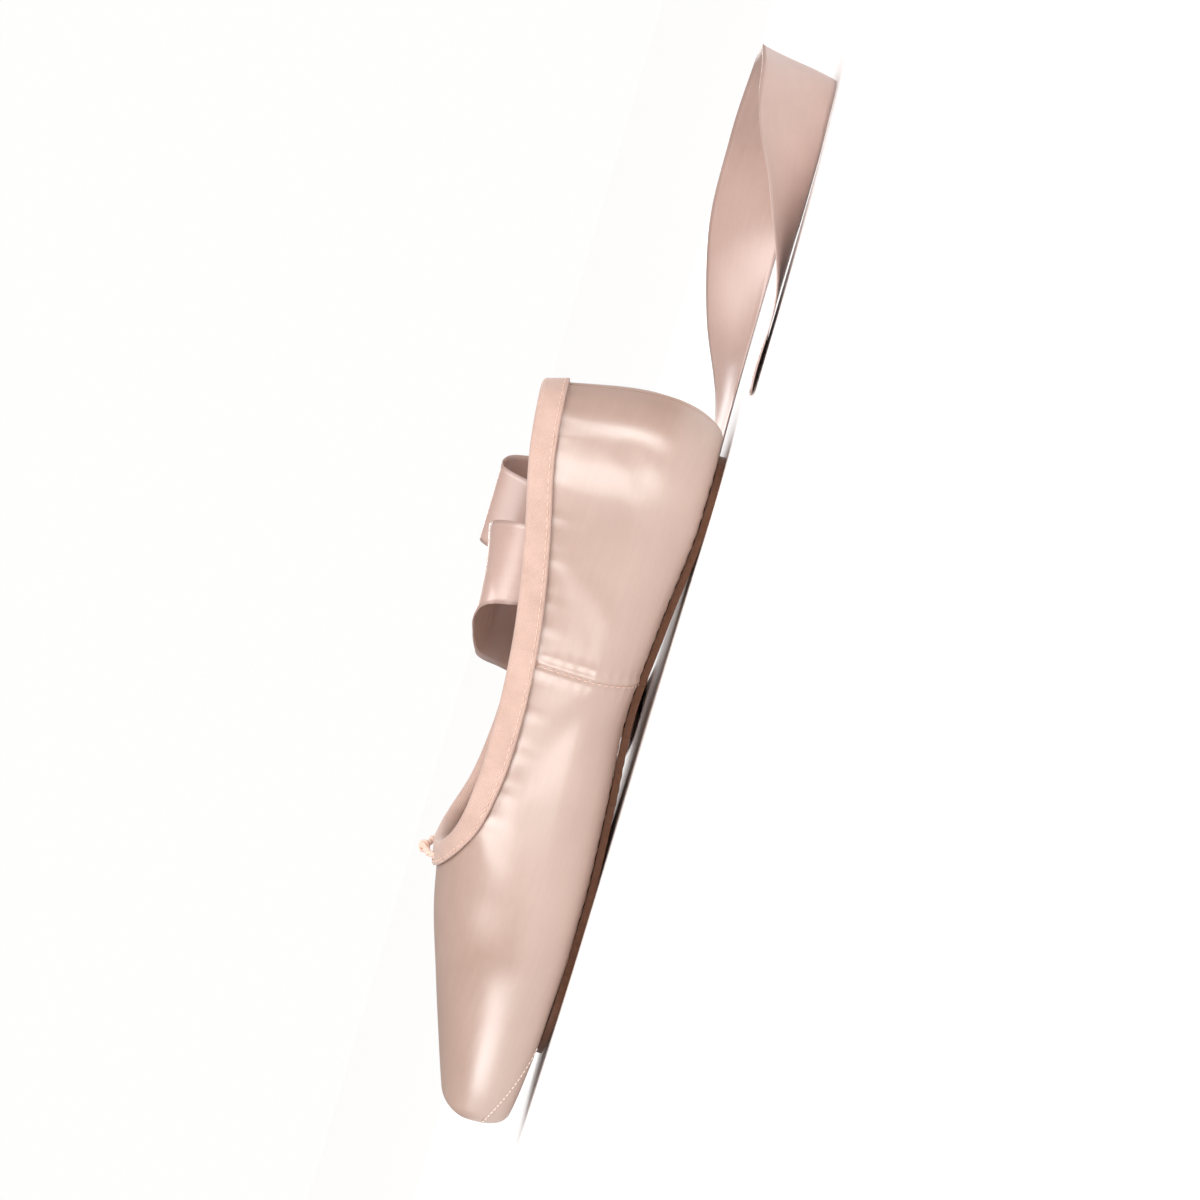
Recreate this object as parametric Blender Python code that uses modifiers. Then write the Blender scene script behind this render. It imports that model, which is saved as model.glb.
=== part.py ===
"""A satin pointe shoe standing empty on its sole.

The shoe is one lasted shell of satin with its toe box, open at the collar and underneath, where a
leather outsole closes it. An insole lies inside, a folded binding runs round the collar with the
drawstring's knot at the throat, and a ribbon is sewn inside each quarter.

+X points to the toe, +Y to the shoe's left side and +Z up. The origin is on the floor, under the
middle of the shoe. All sizes are in metres.
"""

import math
from collections import namedtuple

import bmesh
import bpy
import numpy as np

# Lasted form
LENGTH = 0.232
BALL_WIDTH = 0.076
HEEL_WIDTH = 0.053
PLATFORM_WIDTH = 0.043
PLATFORM_HEIGHT = 0.0205
PLATFORM_EDGE = 0.0045
VAMP_LENGTH = 0.078
THROAT_HEIGHT = 0.050
SIDE_HEIGHT = 0.042
HEEL_HEIGHT = 0.058
CONE_HEIGHT = 0.088
ARCH_RISE = 0.0040
TOE_SPRING = 0.0032
HEEL_ROUND = 0.028
HEEL_LEAN = 0.0065
HEEL_UNDERCUT = 0.0085
HEEL_BULGE_HEIGHT = 0.021

# Walls, sole and insole
BOX_WALL = 0.0028
QUARTER_WALL = 0.0015
CLEARANCE = 0.0003
SOLE_THICKNESS = 0.0022
SOLE_BALL_WIDTH = 0.050
SOLE_WAIST_WIDTH = 0.027
SOLE_HEEL_WIDTH = 0.033
SOLE_TOE_GAP = 0.022
SOLE_HEEL_GAP = 0.013
SOLE_EDGE = 0.0005
LASTING_MARGIN = 0.0055
INSOLE_THICKNESS = 0.0015
INSOLE_TOE_GAP = 0.014

# Seams, binding, drawstring and ribbons
SIDE_SEAM_FROM_HEEL = 0.082
SEAM_WIDTH = 0.0020
SEAM_HEIGHT = 0.0005
BINDING_WIDTH = 0.0060
BINDING_INSIDE = 0.0050
BINDING_THICKNESS = 0.0008
BINDING_GAP = 0.0005
CORD_DIAMETER = 0.0022
CORD_REACH = 0.011
KNOT_WRAP = 0.0021
RIBBON_WIDTH = 0.025
RIBBON_THICKNESS = 0.0005
RIBBON_FROM_HEEL = 0.056
RIBBON_SEWN = 0.024

# How finely the meshes follow the form
RIBS = 42
RIB_POINTS = 18
SWEEP_STEPS = 700
PLATE_STATIONS = 26
RIBBON_STEPS = 64

HEEL_X = -LENGTH / 2
TOE_X = LENGTH / 2
THROAT_X = TOE_X - VAMP_LENGTH
SIDE_SEAM_X = HEEL_X + SIDE_SEAM_FROM_HEEL
UNDERSIDE = SOLE_THICKNESS + CLEARANCE
PLATFORM_TOP = UNDERSIDE + TOE_SPRING + PLATFORM_HEIGHT
PLATFORM_MIDDLE = UNDERSIDE + TOE_SPRING + PLATFORM_HEIGHT / 2

# The sections of the last. A station is 0 at the back of the heel, 1 at the throat and 2 at the
# platform. The width is the widest, at the height named widest. The crown closes the section on
# top, behind the throat only as the cone that the walls lean to. The feather is the width of the
# flat underside, and the rise lifts that off the floor's plane.
Section = namedtuple("Section", "station width widest crown feather rise")
SECTIONS = (
    Section(0.00, HEEL_WIDTH * 0.97, HEEL_BULGE_HEIGHT, CONE_HEIGHT, SOLE_HEEL_WIDTH * 0.97, 0),
    Section(0.20, HEEL_WIDTH, HEEL_BULGE_HEIGHT, CONE_HEIGHT, SOLE_HEEL_WIDTH, 0),
    Section(0.42, HEEL_WIDTH * 1.02, HEEL_BULGE_HEIGHT, CONE_HEIGHT * 0.96,
            SOLE_WAIST_WIDTH * 1.06, ARCH_RISE * 0.62),
    Section(0.62, BALL_WIDTH * 0.785, THROAT_HEIGHT * 0.42, CONE_HEIGHT * 0.84,
            SOLE_WAIST_WIDTH * 1.03, ARCH_RISE),
    Section(0.80, BALL_WIDTH * 0.90, THROAT_HEIGHT * 0.40, THROAT_HEIGHT * 1.17,
            SOLE_BALL_WIDTH * 0.74, ARCH_RISE * 0.45),
    Section(1.00, BALL_WIDTH * 0.985, THROAT_HEIGHT * 0.37, THROAT_HEIGHT,
            SOLE_BALL_WIDTH * 0.97, 0),
    Section(1.22, BALL_WIDTH * 0.995, THROAT_HEIGHT * 0.34, THROAT_HEIGHT * 0.925,
            SOLE_BALL_WIDTH, 0),
    Section(1.50, BALL_WIDTH * 0.89, THROAT_HEIGHT * 0.32, THROAT_HEIGHT * 0.79,
            SOLE_BALL_WIDTH * 0.94, TOE_SPRING * 0.08),
    Section(1.80, PLATFORM_WIDTH * 1.27, PLATFORM_MIDDLE * 0.97, PLATFORM_TOP * 1.22,
            SOLE_BALL_WIDTH * 0.74, TOE_SPRING * 0.52),
    Section(2.00, PLATFORM_WIDTH, PLATFORM_MIDDLE, PLATFORM_TOP, PLATFORM_WIDTH * 0.60, TOE_SPRING),
)

# The collar's line seen from the side: station and height.
COLLAR = (
    (0.00, HEEL_HEIGHT),
    (0.13, HEEL_HEIGHT * 0.955),
    (0.30, SIDE_HEIGHT * 1.175),
    (0.48, SIDE_HEIGHT * 1.055),
    (0.66, SIDE_HEIGHT),
    (0.80, SIDE_HEIGHT * 1.005),
    (0.91, THROAT_HEIGHT * 0.892),
    (1.00, THROAT_HEIGHT),
)

# Each ribbon's free route: place, the bearing of its width in degrees, and how far that tilts up.
# The left ribbon crosses the opening and lies down on the right side, and so does the right one.
LEFT_ROUTE = (
    (-0.0592, 0.0203, 0.0515, 2, -4),
    (-0.0560, 0.0145, 0.0582, 14, -10),
    (-0.0480, 0.0045, 0.0597, 26, -4),
    (-0.0390, -0.0075, 0.0577, 30, 0),
    (-0.0310, -0.0190, 0.0553, 30, 2),
    (-0.0262, -0.0290, 0.0535, 26, 6),
    (-0.0215, -0.0385, 0.0440, 12, 24),
    (-0.0170, -0.0425, 0.0300, 2, 28),
    (-0.0125, -0.0460, 0.0150, 6, 22),
    (-0.0070, -0.0540, 0.0045, 24, 8),
    (0.0020, -0.0710, 0.0008, 32, 2),
    (0.0150, -0.0930, 0.0014, 42, 5),
    (0.0330, -0.1110, 0.0052, 60, 24),
    (0.0560, -0.1200, 0.0112, 82, 62),
    (0.0800, -0.1200, 0.0125, 62, 76),
    (0.0970, -0.1340, 0.0126, 20, 80),
    (0.0970, -0.1560, 0.0125, -30, 76),
    (0.0790, -0.1720, 0.0108, -68, 58),
    (0.0520, -0.1770, 0.0052, -84, 24),
    (0.0220, -0.1765, 0.0014, -90, 5),
    (-0.0080, -0.1720, 0.0008, -98, 0),
    (-0.0370, -0.1650, 0.0020, -102, 3),
    (-0.0620, -0.1590, 0.0008, -102, 0),
)
RIGHT_ROUTE = (
    (-0.0615, -0.0215, 0.0565, 0, 0),
    (-0.0620, -0.0270, 0.0635, 0, 0),
    (-0.0630, -0.0370, 0.0625, -2, 0),
    (-0.0640, -0.0440, 0.0500, -4, 0),
    (-0.0655, -0.0470, 0.0330, -6, 0),
    (-0.0675, -0.0500, 0.0150, -10, 0),
    (-0.0720, -0.0580, 0.0040, -18, 2),
    (-0.0820, -0.0740, 0.0008, -32, 2),
    (-0.0990, -0.0910, 0.0022, -50, 10),
    (-0.1220, -0.1010, 0.0075, -74, 37),
    (-0.1500, -0.1030, 0.0117, -96, 68),
    (-0.1780, -0.0950, 0.0126, -118, 80),
    (-0.2010, -0.0760, 0.0126, -142, 82),
    (-0.2150, -0.0490, 0.0126, -164, 80),
    (-0.2180, -0.0190, 0.0124, -188, 76),
    (-0.2080, 0.0080, 0.0112, -214, 62),
    (-0.1880, 0.0280, 0.0064, -236, 30),
    (-0.1630, 0.0400, 0.0014, -250, 5),
    (-0.1360, 0.0480, 0.0008, -256, 0),
)


def station_x(station):
    """The place along the shoe of a station, which is 0 at the heel, 1 at the throat, 2 at the toe."""
    return np.interp(station, (0, 1, 2), (HEEL_X, THROAT_X, TOE_X))


def smooth_curve(places, values):
    """A function that runs smoothly through the values at the places, and level beyond them."""
    places, values = np.array(places, float), np.array(values, float)
    slopes = np.gradient(values, places)

    def curve(at):
        at = np.clip(at, places[0], places[-1])
        i = np.clip(np.searchsorted(places, at, side="right") - 1, 0, len(places) - 2)
        gap = places[i + 1] - places[i]
        t = (at - places[i]) / gap
        start = (1 + 2 * t) * (1 - t) ** 2 * values[i] + t * (1 - t) ** 2 * gap * slopes[i]
        end = t**2 * (3 - 2 * t) * values[i + 1] - t**2 * (1 - t) * gap * slopes[i + 1]
        return start + end

    return curve


def section_curve(column, share=1.0):
    """How one column of the sections runs along the shoe."""
    places = [station_x(section.station) for section in SECTIONS]
    return smooth_curve(places, [getattr(section, column) * share for section in SECTIONS])


half_width_at = section_curve("width", 0.5)
feather_at = section_curve("feather", 0.5)
widest_at = section_curve("widest")
crown_at = section_curve("crown")
level_rise_at = section_curve("rise")
collar_at = smooth_curve([station_x(row[0]) for row in COLLAR], [row[1] for row in COLLAR])
upper_power_at = smooth_curve([HEEL_X, THROAT_X, TOE_X], [2.0, 2.15, 2.5])


def rise_at(x):
    """How far the flat underside is lifted off the floor's plane."""
    return np.maximum(level_rise_at(x), 0)


def rounded(share, power=2.0):
    """A rounded end: 0 at share 0, and 1 from share 1 on."""
    return (1 - (1 - np.clip(share, 0, 1)) ** power) ** (1 / power)


def heel_setback(z):
    """How far the back of the heel lies in from its bulge at a height."""
    below = np.clip((HEEL_BULGE_HEIGHT - z) / (HEEL_BULGE_HEIGHT - UNDERSIDE), 0, 1)
    above = np.clip((z - HEEL_BULGE_HEIGHT) / (HEEL_HEIGHT - HEEL_BULGE_HEIGHT), 0, None)
    return HEEL_UNDERCUT * (1 - np.sqrt(1 - below**2)) + HEEL_LEAN * above**1.7


def form_half_width(x, z):
    """Half the width of the lasted form at a place and height, and below 0 outside the form."""
    past = np.clip((x - TOE_X + PLATFORM_EDGE) / PLATFORM_EDGE, 0, 1)
    tuck = PLATFORM_EDGE * (1 - np.sqrt(1 - past**2))
    heel = rounded((x - HEEL_X - heel_setback(z)) / HEEL_ROUND, 2.1)
    wide = (half_width_at(x) - tuck) * heel
    flat = np.minimum(feather_at(x) * heel, wide)
    widest, top, bottom = widest_at(x), crown_at(x) - tuck, UNDERSIDE + rise_at(x) + tuck
    above = np.clip((z - widest) / (top - widest), 0, 1)
    below = np.clip((widest - z) / (widest - bottom), 0, 1)
    power = upper_power_at(x)
    high = wide * (1 - above**power) ** (1 / power)
    low = flat + (wide - flat) * np.sqrt(1 - below**2)
    outside = (z < bottom) | (z > top) | (x > TOE_X) | (heel <= 0)
    return np.where(outside, -1.0, np.where(z > widest, high, low))


def sole_half_width(x, inset=0.0):
    """Half the outsole's width, or that of the opening in the upper that lies inset inside it."""
    heel_end, toe_end = HEEL_X + SOLE_HEEL_GAP + inset, TOE_X - SOLE_TOE_GAP - inset
    half = feather_at(x) - inset
    heel = rounded((x - heel_end) / (SOLE_HEEL_WIDTH / 2 - inset))
    toe = rounded((toe_end - x) / (SOLE_BALL_WIDTH / 2 - inset))
    return np.where((x <= heel_end) | (x >= toe_end), -1.0, half * heel * toe)


def rib_planes(count):
    """Where the ribs stand: for each, a point on the middle line and the way it faces outward.

    The ribs fan out round the heel and the toe and stand square to the shoe between them. They are
    spaced evenly round the outline, with three close together over the side seam.
    """
    walk = np.linspace(0, math.pi, 2000)
    x = HEEL_X + LENGTH * (1 - np.cos(walk)) / 2
    y = np.maximum(form_half_width(x, widest_at(x)), 0)
    x, y = np.append(x, TOE_X), np.append(y, 0)
    run = np.concatenate([[0], np.cumsum(np.hypot(np.diff(x), np.diff(y)))])
    even = np.linspace(0, run[-1], count + 1)
    seam = np.interp(SIDE_SEAM_X, x[:-1], run[:-1])
    even = even[np.abs(even - seam) > 1.5 * SEAM_WIDTH]
    cluster = seam + SEAM_WIDTH * np.array([-0.8, -0.4, 0.0, 0.4, 0.8])
    at = np.sort(np.append(even, cluster))
    aim = np.stack([np.interp(at, run, x), np.interp(at, run, y)], axis=1)
    heel_hub, toe_hub = HEEL_X + HEEL_ROUND, THROAT_X - VAMP_LENGTH * 0.15
    hub = np.stack([np.clip(aim[:, 0], heel_hub, toe_hub), np.zeros(len(aim))], axis=1)
    reach = np.linalg.norm(aim - hub, axis=1)
    return hub, (aim - hub) / reach[:, None], reach


def rib_surface(hub, facing, reach, angle):
    """The points where rays from inside the form leave it, at angles up from level in each rib."""
    heart_out, heart_up = 0.45 * reach, (UNDERSIDE + widest_at(hub[:, 0] + facing[:, 0] * reach)) * 0.8
    inner, outer = np.zeros_like(angle), np.full_like(angle, LENGTH)
    for _ in range(34):
        middle = (inner + outer) / 2
        out = heart_out[:, None] + middle * np.cos(angle)
        x = hub[:, :1] + facing[:, :1] * out
        y = hub[:, 1:] + facing[:, 1:] * out
        z = heart_up[:, None] + middle * np.sin(angle)
        inside = np.abs(y) < form_half_width(x, z)
        inner, outer = np.where(inside, middle, inner), np.where(inside, outer, middle)
    return np.stack([x, y, z], axis=-1)


def cut_away(points, upward):
    """Whether points of the form lie in the collar's opening, or in the opening underneath."""
    x, y, z = np.moveaxis(points, -1, 0)
    if upward:
        return (x < THROAT_X) & (z > collar_at(x))
    return (z < widest_at(x)) & (np.abs(y) < sole_half_width(x, LASTING_MARGIN))


def rib_end(planes, upward):
    """The angle in each rib at which the form meets the collar, or the opening underneath."""
    sign = 1 if upward else -1
    sweep = sign * np.linspace(0, math.radians(175), SWEEP_STEPS)
    angle = np.tile(sweep, (len(planes[0]), 1))
    first = np.argmax(cut_away(rib_surface(*planes, angle), upward), axis=1)
    kept, lost = sweep[first - 1], sweep[first]
    for _ in range(20):
        middle = (kept + lost) / 2
        cut = cut_away(rib_surface(*planes, middle[:, None])[:, 0], upward)
        kept, lost = np.where(cut, kept, middle), np.where(cut, middle, lost)
    return kept


def shell_ribs():
    """The upper's ribs as rows of closely spaced points, from the sole's opening to the collar."""
    planes = rib_planes(RIBS)
    low, high = rib_end(planes, False), rib_end(planes, True)
    share = np.linspace(0, 1, SWEEP_STEPS)
    return rib_surface(*planes, low[:, None] + (high - low)[:, None] * share)


def spread_points(ribs, count):
    """Each rib again with that many points, closer together where it turns."""
    rows = []
    for rib in ribs:
        step = np.diff(rib, axis=0)
        long = np.linalg.norm(step, axis=1)
        way = step / long[:, None]
        turn = np.arccos(np.clip((way[1:] * way[:-1]).sum(axis=1), -1, 1))
        run = np.concatenate([[0], np.cumsum(long)]) / long.sum()
        bend = np.concatenate([[0, 0], np.cumsum(turn)]) / turn.sum()
        at = np.linspace(0, 1, count)
        rows.append([np.interp(at, (run + 0.9 * bend) / 1.9, rib[:, k]) for k in range(3)])
    return np.moveaxis(np.array(rows), 1, 2)


def outward(grid):
    """The outward normal at each point of a grid of ribs, which lies in the middle plane at its ends."""
    normal = np.cross(np.gradient(grid, axis=1), np.gradient(grid, axis=0))
    normal[[0, -1], :, 1] = 0
    return normal / np.linalg.norm(normal, axis=-1, keepdims=True)


def wall_at(x):
    """The wall's thickness: stiff box in front, soft quarters behind."""
    share = np.clip((x - station_x(0.75)) / (station_x(1.2) - station_x(0.75)), 0, 1)
    return QUARTER_WALL + (BOX_WALL - QUARTER_WALL) * share**2 * (3 - 2 * share)


def material(name, colour, roughness):
    """A plain material for one sub-part."""
    made = bpy.data.materials.new(name)
    made.use_nodes = True
    shader = made.node_tree.nodes["Principled BSDF"]
    shader.inputs["Base Color"].default_value = (*colour, 1)
    shader.inputs["Roughness"].default_value = roughness
    shader.inputs["Metallic"].default_value = 0.0
    return made


def mesh_object(name, mesh, finish):
    """An object in the shoe's collection, shaded smooth but for its sharp edges."""
    mesh.materials.append(finish)
    mesh.shade_smooth()
    mesh.set_sharp_from_angle(angle=math.radians(40))
    made = bpy.data.objects.new(name, mesh)
    bpy.data.collections["pointe_shoe"].objects.link(made)
    return made


def grid_mesh(name, grid):
    """An open surface through a grid of points, with the points that coincide joined."""
    rows, columns = grid.shape[:2]
    shape = bmesh.new()
    corners = [[shape.verts.new(point) for point in row] for row in grid]
    for i in range(rows - 1):
        for j in range(columns - 1):
            shape.faces.new(
                (corners[i][j], corners[i][j + 1], corners[i + 1][j + 1], corners[i + 1][j])
            )
    bmesh.ops.remove_doubles(shape, verts=shape.verts, dist=1e-6)
    mesh = bpy.data.meshes.new(name)
    shape.to_mesh(mesh)
    shape.free()
    return mesh


def mirrored(made):
    """Adds the other half of a piece that is open at the middle plane."""
    mirror = made.modifiers.new("other_half", "MIRROR")
    mirror.use_axis = (False, True, False)
    mirror.merge_threshold = 0.0001


def solidified(made, thickness, group=None):
    """Gives an open surface its thickness, on the side away from its normals."""
    wall = made.modifiers.new("wall", "SOLIDIFY")
    wall.thickness = thickness
    wall.offset = -1
    wall.use_even_offset = True
    if group:
        wall.vertex_group = group


def build_upper(ribs, finish):
    """The satin shell: toe box, vamp and quarters, with a raised seam on each side."""
    grid = spread_points(ribs, RIB_POINTS)
    from_seam = np.abs(grid[..., 0] - SIDE_SEAM_X) / (SEAM_WIDTH / 2)
    under_binding = (collar_at(grid[..., 0]) - grid[..., 2]) / BINDING_WIDTH
    under_sole = (np.abs(grid[..., 1]) - feather_at(grid[..., 0])) / CLEARANCE
    shown = np.clip(under_binding - 1, 0, 1) * np.clip(under_sole - 2, 0, 1)
    ridge = SEAM_HEIGHT * np.clip(1 - from_seam, 0, 1) * shown
    grid = grid + outward(grid) * ridge[..., None]
    made = mesh_object("upper", grid_mesh("upper", grid), finish)
    group = made.vertex_groups.new(name="wall")
    for vertex in made.data.vertices:
        group.add([vertex.index], wall_at(vertex.co.x) / BOX_WALL, "REPLACE")
    mirrored(made)
    solidified(made, BOX_WALL, "wall")
    return made


def plate_grid(start, end, half_width, height):
    """Half of a plate from its middle line to its edge, along the shoe."""
    walk = np.linspace(0, math.pi, PLATE_STATIONS)
    x = start + (end - start) * (1 - np.cos(walk)) / 2
    half = np.maximum(half_width(x), 0)
    half[[0, -1]] = 0
    share = np.array([1.0, 0.55, 0.0])
    place = np.stack(
        [np.tile(x[:, None], 3), half[:, None] * share, np.tile(height(x)[:, None], 3)], axis=-1
    )
    return place


def build_outsole(finish):
    """The leather outsole, flat on the floor at heel and ball and lifted at the arch."""
    start, end = HEEL_X + SOLE_HEEL_GAP, TOE_X - SOLE_TOE_GAP
    grid = plate_grid(start, end, sole_half_width, lambda x: rise_at(x) + SOLE_THICKNESS)
    made = mesh_object("outsole", grid_mesh("outsole", grid), finish)
    mirrored(made)
    solidified(made, SOLE_THICKNESS)
    edge = made.modifiers.new("edge", "BEVEL")
    edge.width = SOLE_EDGE
    edge.segments = 1
    edge.limit_method = "ANGLE"
    edge.angle_limit = math.radians(60)
    return made


def build_insole(finish):
    """The sock inside, which covers the lasting margin from heel to box."""
    start = HEEL_X + HEEL_UNDERCUT + QUARTER_WALL + 2 * CLEARANCE
    end = TOE_X - INSOLE_TOE_GAP

    def half_width(x):
        toe = rounded((end - x) / feather_at(end))
        return feather_at(x) * rounded((x - start) / HEEL_ROUND, 2.1) * toe

    def height(x):
        return UNDERSIDE + rise_at(x) + wall_at(x) + CLEARANCE + INSOLE_THICKNESS

    grid = plate_grid(start, end, half_width, height)
    made = mesh_object("insole", grid_mesh("insole", grid), finish)
    mirrored(made)
    solidified(made, INSOLE_THICKNESS)
    return made


def collar_strip(ribs, outside, inside, gap):
    """The surface of a strip folded over the collar's edge, that far off the wall."""
    dense = spread_points(ribs, 200)
    normals = outward(dense)
    strip = []
    for rib, normal in zip(dense, normals):
        back = rib[::-1]
        run = np.concatenate([[0], np.cumsum(np.linalg.norm(np.diff(back, axis=0), axis=1))])

        def at(values, distances):
            return np.stack([np.interp(distances, run, values[::-1, k]) for k in range(3)], axis=1)

        edge, out, onward = rib[-1], normal[-1], rib[-1] - rib[-3]
        onward = onward / np.linalg.norm(onward)
        wall = wall_at(edge[0])
        radius = wall / 2 + gap
        outer = at(rib, outside) + at(normal, outside) * gap
        turn = np.radians((0, 60, 120, 180))[:, None]
        over = edge - out * wall / 2 + radius * (out * np.cos(turn) + onward * np.sin(turn))
        inner = at(rib, inside) - at(normal, inside) * (wall + gap)
        strip.append(np.concatenate([outer, over, inner]))
    strip = np.array(strip)
    strip[[0, -1], :, 1] = 0
    return strip


def build_binding(ribs, finish):
    """The folded tape round the collar that holds the drawstring."""
    outside = (BINDING_WIDTH, BINDING_WIDTH / 2)
    inside = (BINDING_INSIDE,)
    strip = collar_strip(ribs, outside, inside, BINDING_GAP + BINDING_THICKNESS)
    made = mesh_object("binding", grid_mesh("binding", strip), finish)
    mirrored(made)
    solidified(made, BINDING_THICKNESS)
    return made


def tube_mesh(name, points, diameter, cyclic=False):
    """A round cord along points, as one closed mesh."""
    curve = bpy.data.curves.new(name, "CURVE")
    curve.dimensions = "3D"
    curve.bevel_depth = diameter / 2
    curve.bevel_resolution = 1
    curve.use_fill_caps = True
    line = curve.splines.new("POLY")
    line.points.add(len(points) - 1)
    line.use_cyclic_u = cyclic
    for target, point in zip(line.points, points):
        target.co = (*point, 1)
    drawn = bpy.data.objects.new(name, curve)
    bpy.context.scene.collection.objects.link(drawn)
    graph = bpy.context.evaluated_depsgraph_get()
    mesh = bpy.data.meshes.new_from_object(drawn.evaluated_get(graph))
    bpy.data.objects.remove(drawn)
    shape = bmesh.new()
    shape.from_mesh(mesh)
    bmesh.ops.remove_doubles(shape, verts=shape.verts, dist=1e-6)
    shape.to_mesh(mesh)
    shape.free()
    return mesh


def throat_line(ribs):
    """Points along the binding's outer face at the throat, from the shoe's right side to its left."""
    seat = BINDING_GAP + BINDING_THICKNESS + CLEARANCE + CORD_DIAMETER / 2
    strip = collar_strip(ribs, (BINDING_WIDTH * 0.42,), (BINDING_INSIDE,), seat)
    left = strip[::-1, 0]
    right = left[:0:-1] * (1, -1, 1)
    line = np.concatenate([right, left])
    return smooth_curve(line[:, 1], line[:, 0]), smooth_curve(line[:, 1], line[:, 2])


def build_drawstring(ribs, finish):
    """The cord that shows at the throat, with the wrap of its knot round the middle."""
    near_throat = ribs[ribs[:, -1, 0] > THROAT_X - VAMP_LENGTH * 0.12]
    x_at, z_at = throat_line(near_throat)
    y = np.linspace(-CORD_REACH, CORD_REACH, 17)
    round_knot = CORD_DIAMETER / 2 + KNOT_WRAP / 2 - CLEARANCE
    lift = round_knot + KNOT_WRAP / 2 - CORD_DIAMETER / 2 + CLEARANCE
    z = z_at(y) + lift * np.exp(-((y / (1.8 * KNOT_WRAP)) ** 2))
    mesh = tube_mesh("drawstring", np.stack([x_at(y), y, z], axis=1), CORD_DIAMETER)
    cord = mesh_object("drawstring", mesh, finish)
    bpy.ops.mesh.primitive_torus_add(
        major_segments=16,
        minor_segments=6,
        major_radius=round_knot,
        minor_radius=KNOT_WRAP / 2,
        location=(float(x_at(0.0)), 0, float(z_at(0.0)) + lift),
        rotation=(math.pi / 2, 0, 0),
    )
    wrap = bpy.context.active_object
    wrap.name = "drawstring_wrap"
    for collection in list(wrap.users_collection):
        collection.objects.unlink(wrap)
    bpy.data.collections["cutters"].objects.link(wrap)
    wrap.hide_render = True
    wrap.display_type = "WIRE"
    join = cord.modifiers.new("knot", "BOOLEAN")
    join.operation = "UNION"
    join.object = wrap
    return cord


def ribbon_start(ribs, side):
    """Where a ribbon is sewn inside its quarter: rows of place, bearing and tilt, going up."""
    crossing = np.array([np.interp(HEEL_X + RIBBON_FROM_HEEL, ribs[10:-12, j, 0], ribs[10:-12, j, 1])
                         for j in range(0, SWEEP_STEPS, 10)])
    height = np.array([np.interp(HEEL_X + RIBBON_FROM_HEEL, ribs[10:-12, j, 0], ribs[10:-12, j, 2])
                       for j in range(0, SWEEP_STEPS, 10)])
    seat = QUARTER_WALL + BINDING_GAP + BINDING_THICKNESS + 2 * CLEARANCE + RIBBON_THICKNESS
    rows = []
    for below in (RIBBON_SEWN, RIBBON_SEWN * 0.55, RIBBON_SEWN * 0.12):
        z = height[-1] - below
        y = np.interp(z, height[len(height) // 2:], crossing[len(height) // 2:]) - seat
        rows.append((HEEL_X + RIBBON_FROM_HEEL, side * y, z, 0, 0))
    return rows


def ribbon_grid(rows):
    """The ribbon's two edges along a smooth line through its rows."""
    rows = np.array(rows, float)
    run = np.concatenate([[0], np.cumsum(np.linalg.norm(np.diff(rows[:, :3], axis=0), axis=1))])
    at = np.linspace(0, run[-1], RIBBON_STEPS)
    x, y, z, bearing, tilt = (smooth_curve(run, rows[:, k])(at) for k in range(5))
    middle = np.stack([x, y, z], axis=1)
    bearing, tilt = np.radians(bearing), np.radians(tilt)
    across = np.stack(
        [np.cos(bearing) * np.cos(tilt), np.sin(bearing) * np.cos(tilt), np.sin(tilt)], axis=1
    )
    along = np.gradient(middle, axis=0)
    along /= np.linalg.norm(along, axis=1, keepdims=True)
    across -= (across * along).sum(axis=1, keepdims=True) * along
    across /= np.linalg.norm(across, axis=1, keepdims=True)
    half = across * RIBBON_WIDTH / 2
    grid = np.stack([middle + half, middle - half], axis=1)
    grid[..., 2] = np.maximum(grid[..., 2], RIBBON_THICKNESS)
    return grid


def build_ribbon(name, start, route, finish):
    """One satin ribbon, from where it is sewn in to its end on the floor."""
    grid = ribbon_grid((*start, *route))
    made = mesh_object(name, grid_mesh(name, grid), finish)
    solidified(made, RIBBON_THICKNESS)
    made.modifiers["wall"].offset = 0
    return made


def main():
    for old in list(bpy.data.objects):
        bpy.data.objects.remove(old)
    for name in ("pointe_shoe", "cutters"):
        bpy.context.scene.collection.children.link(bpy.data.collections.new(name))
    satin = material("satin", (0.80, 0.55, 0.46), 0.38)
    leather = material("sole_leather", (0.52, 0.27, 0.14), 0.62)
    sock = material("sock_lining", (0.78, 0.66, 0.56), 0.90)
    tape = material("binding_tape", (0.82, 0.58, 0.48), 0.75)
    cord = material("cotton_cord", (0.86, 0.66, 0.57), 0.80)
    ribbon = material("ribbon_satin", (0.80, 0.56, 0.48), 0.42)
    ribs = shell_ribs()
    build_upper(ribs, satin)
    build_outsole(leather)
    build_insole(sock)
    build_binding(ribs, tape)
    build_drawstring(ribs, cord)
    build_ribbon("ribbon_left", ribbon_start(ribs, 1), LEFT_ROUTE, ribbon)
    build_ribbon("ribbon_right", ribbon_start(ribs, -1), RIGHT_ROUTE, ribbon)


main()
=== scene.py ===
# %% [markdown]
# # A satin pointe shoe
# A pointe shoe is lasted: satin, canvas and paste are pulled over a form and closed underneath by a
# small leather sole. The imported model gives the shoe's body, and this lesson dresses it: satin with
# its seams, the folded binding and its drawstring, suede sole, cotton sock and two sewn-in ribbons.
#
# The plan is the same for each piece: say where it lies by a rule in the shoe's own sizes, turn the
# rule into a grid of points, and give the mesh a material that is built from nodes.

# %% Load the frame
import math
from collections import namedtuple

import bmesh
import bpy
import numpy as np
from mathutils import Matrix, Vector


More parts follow.
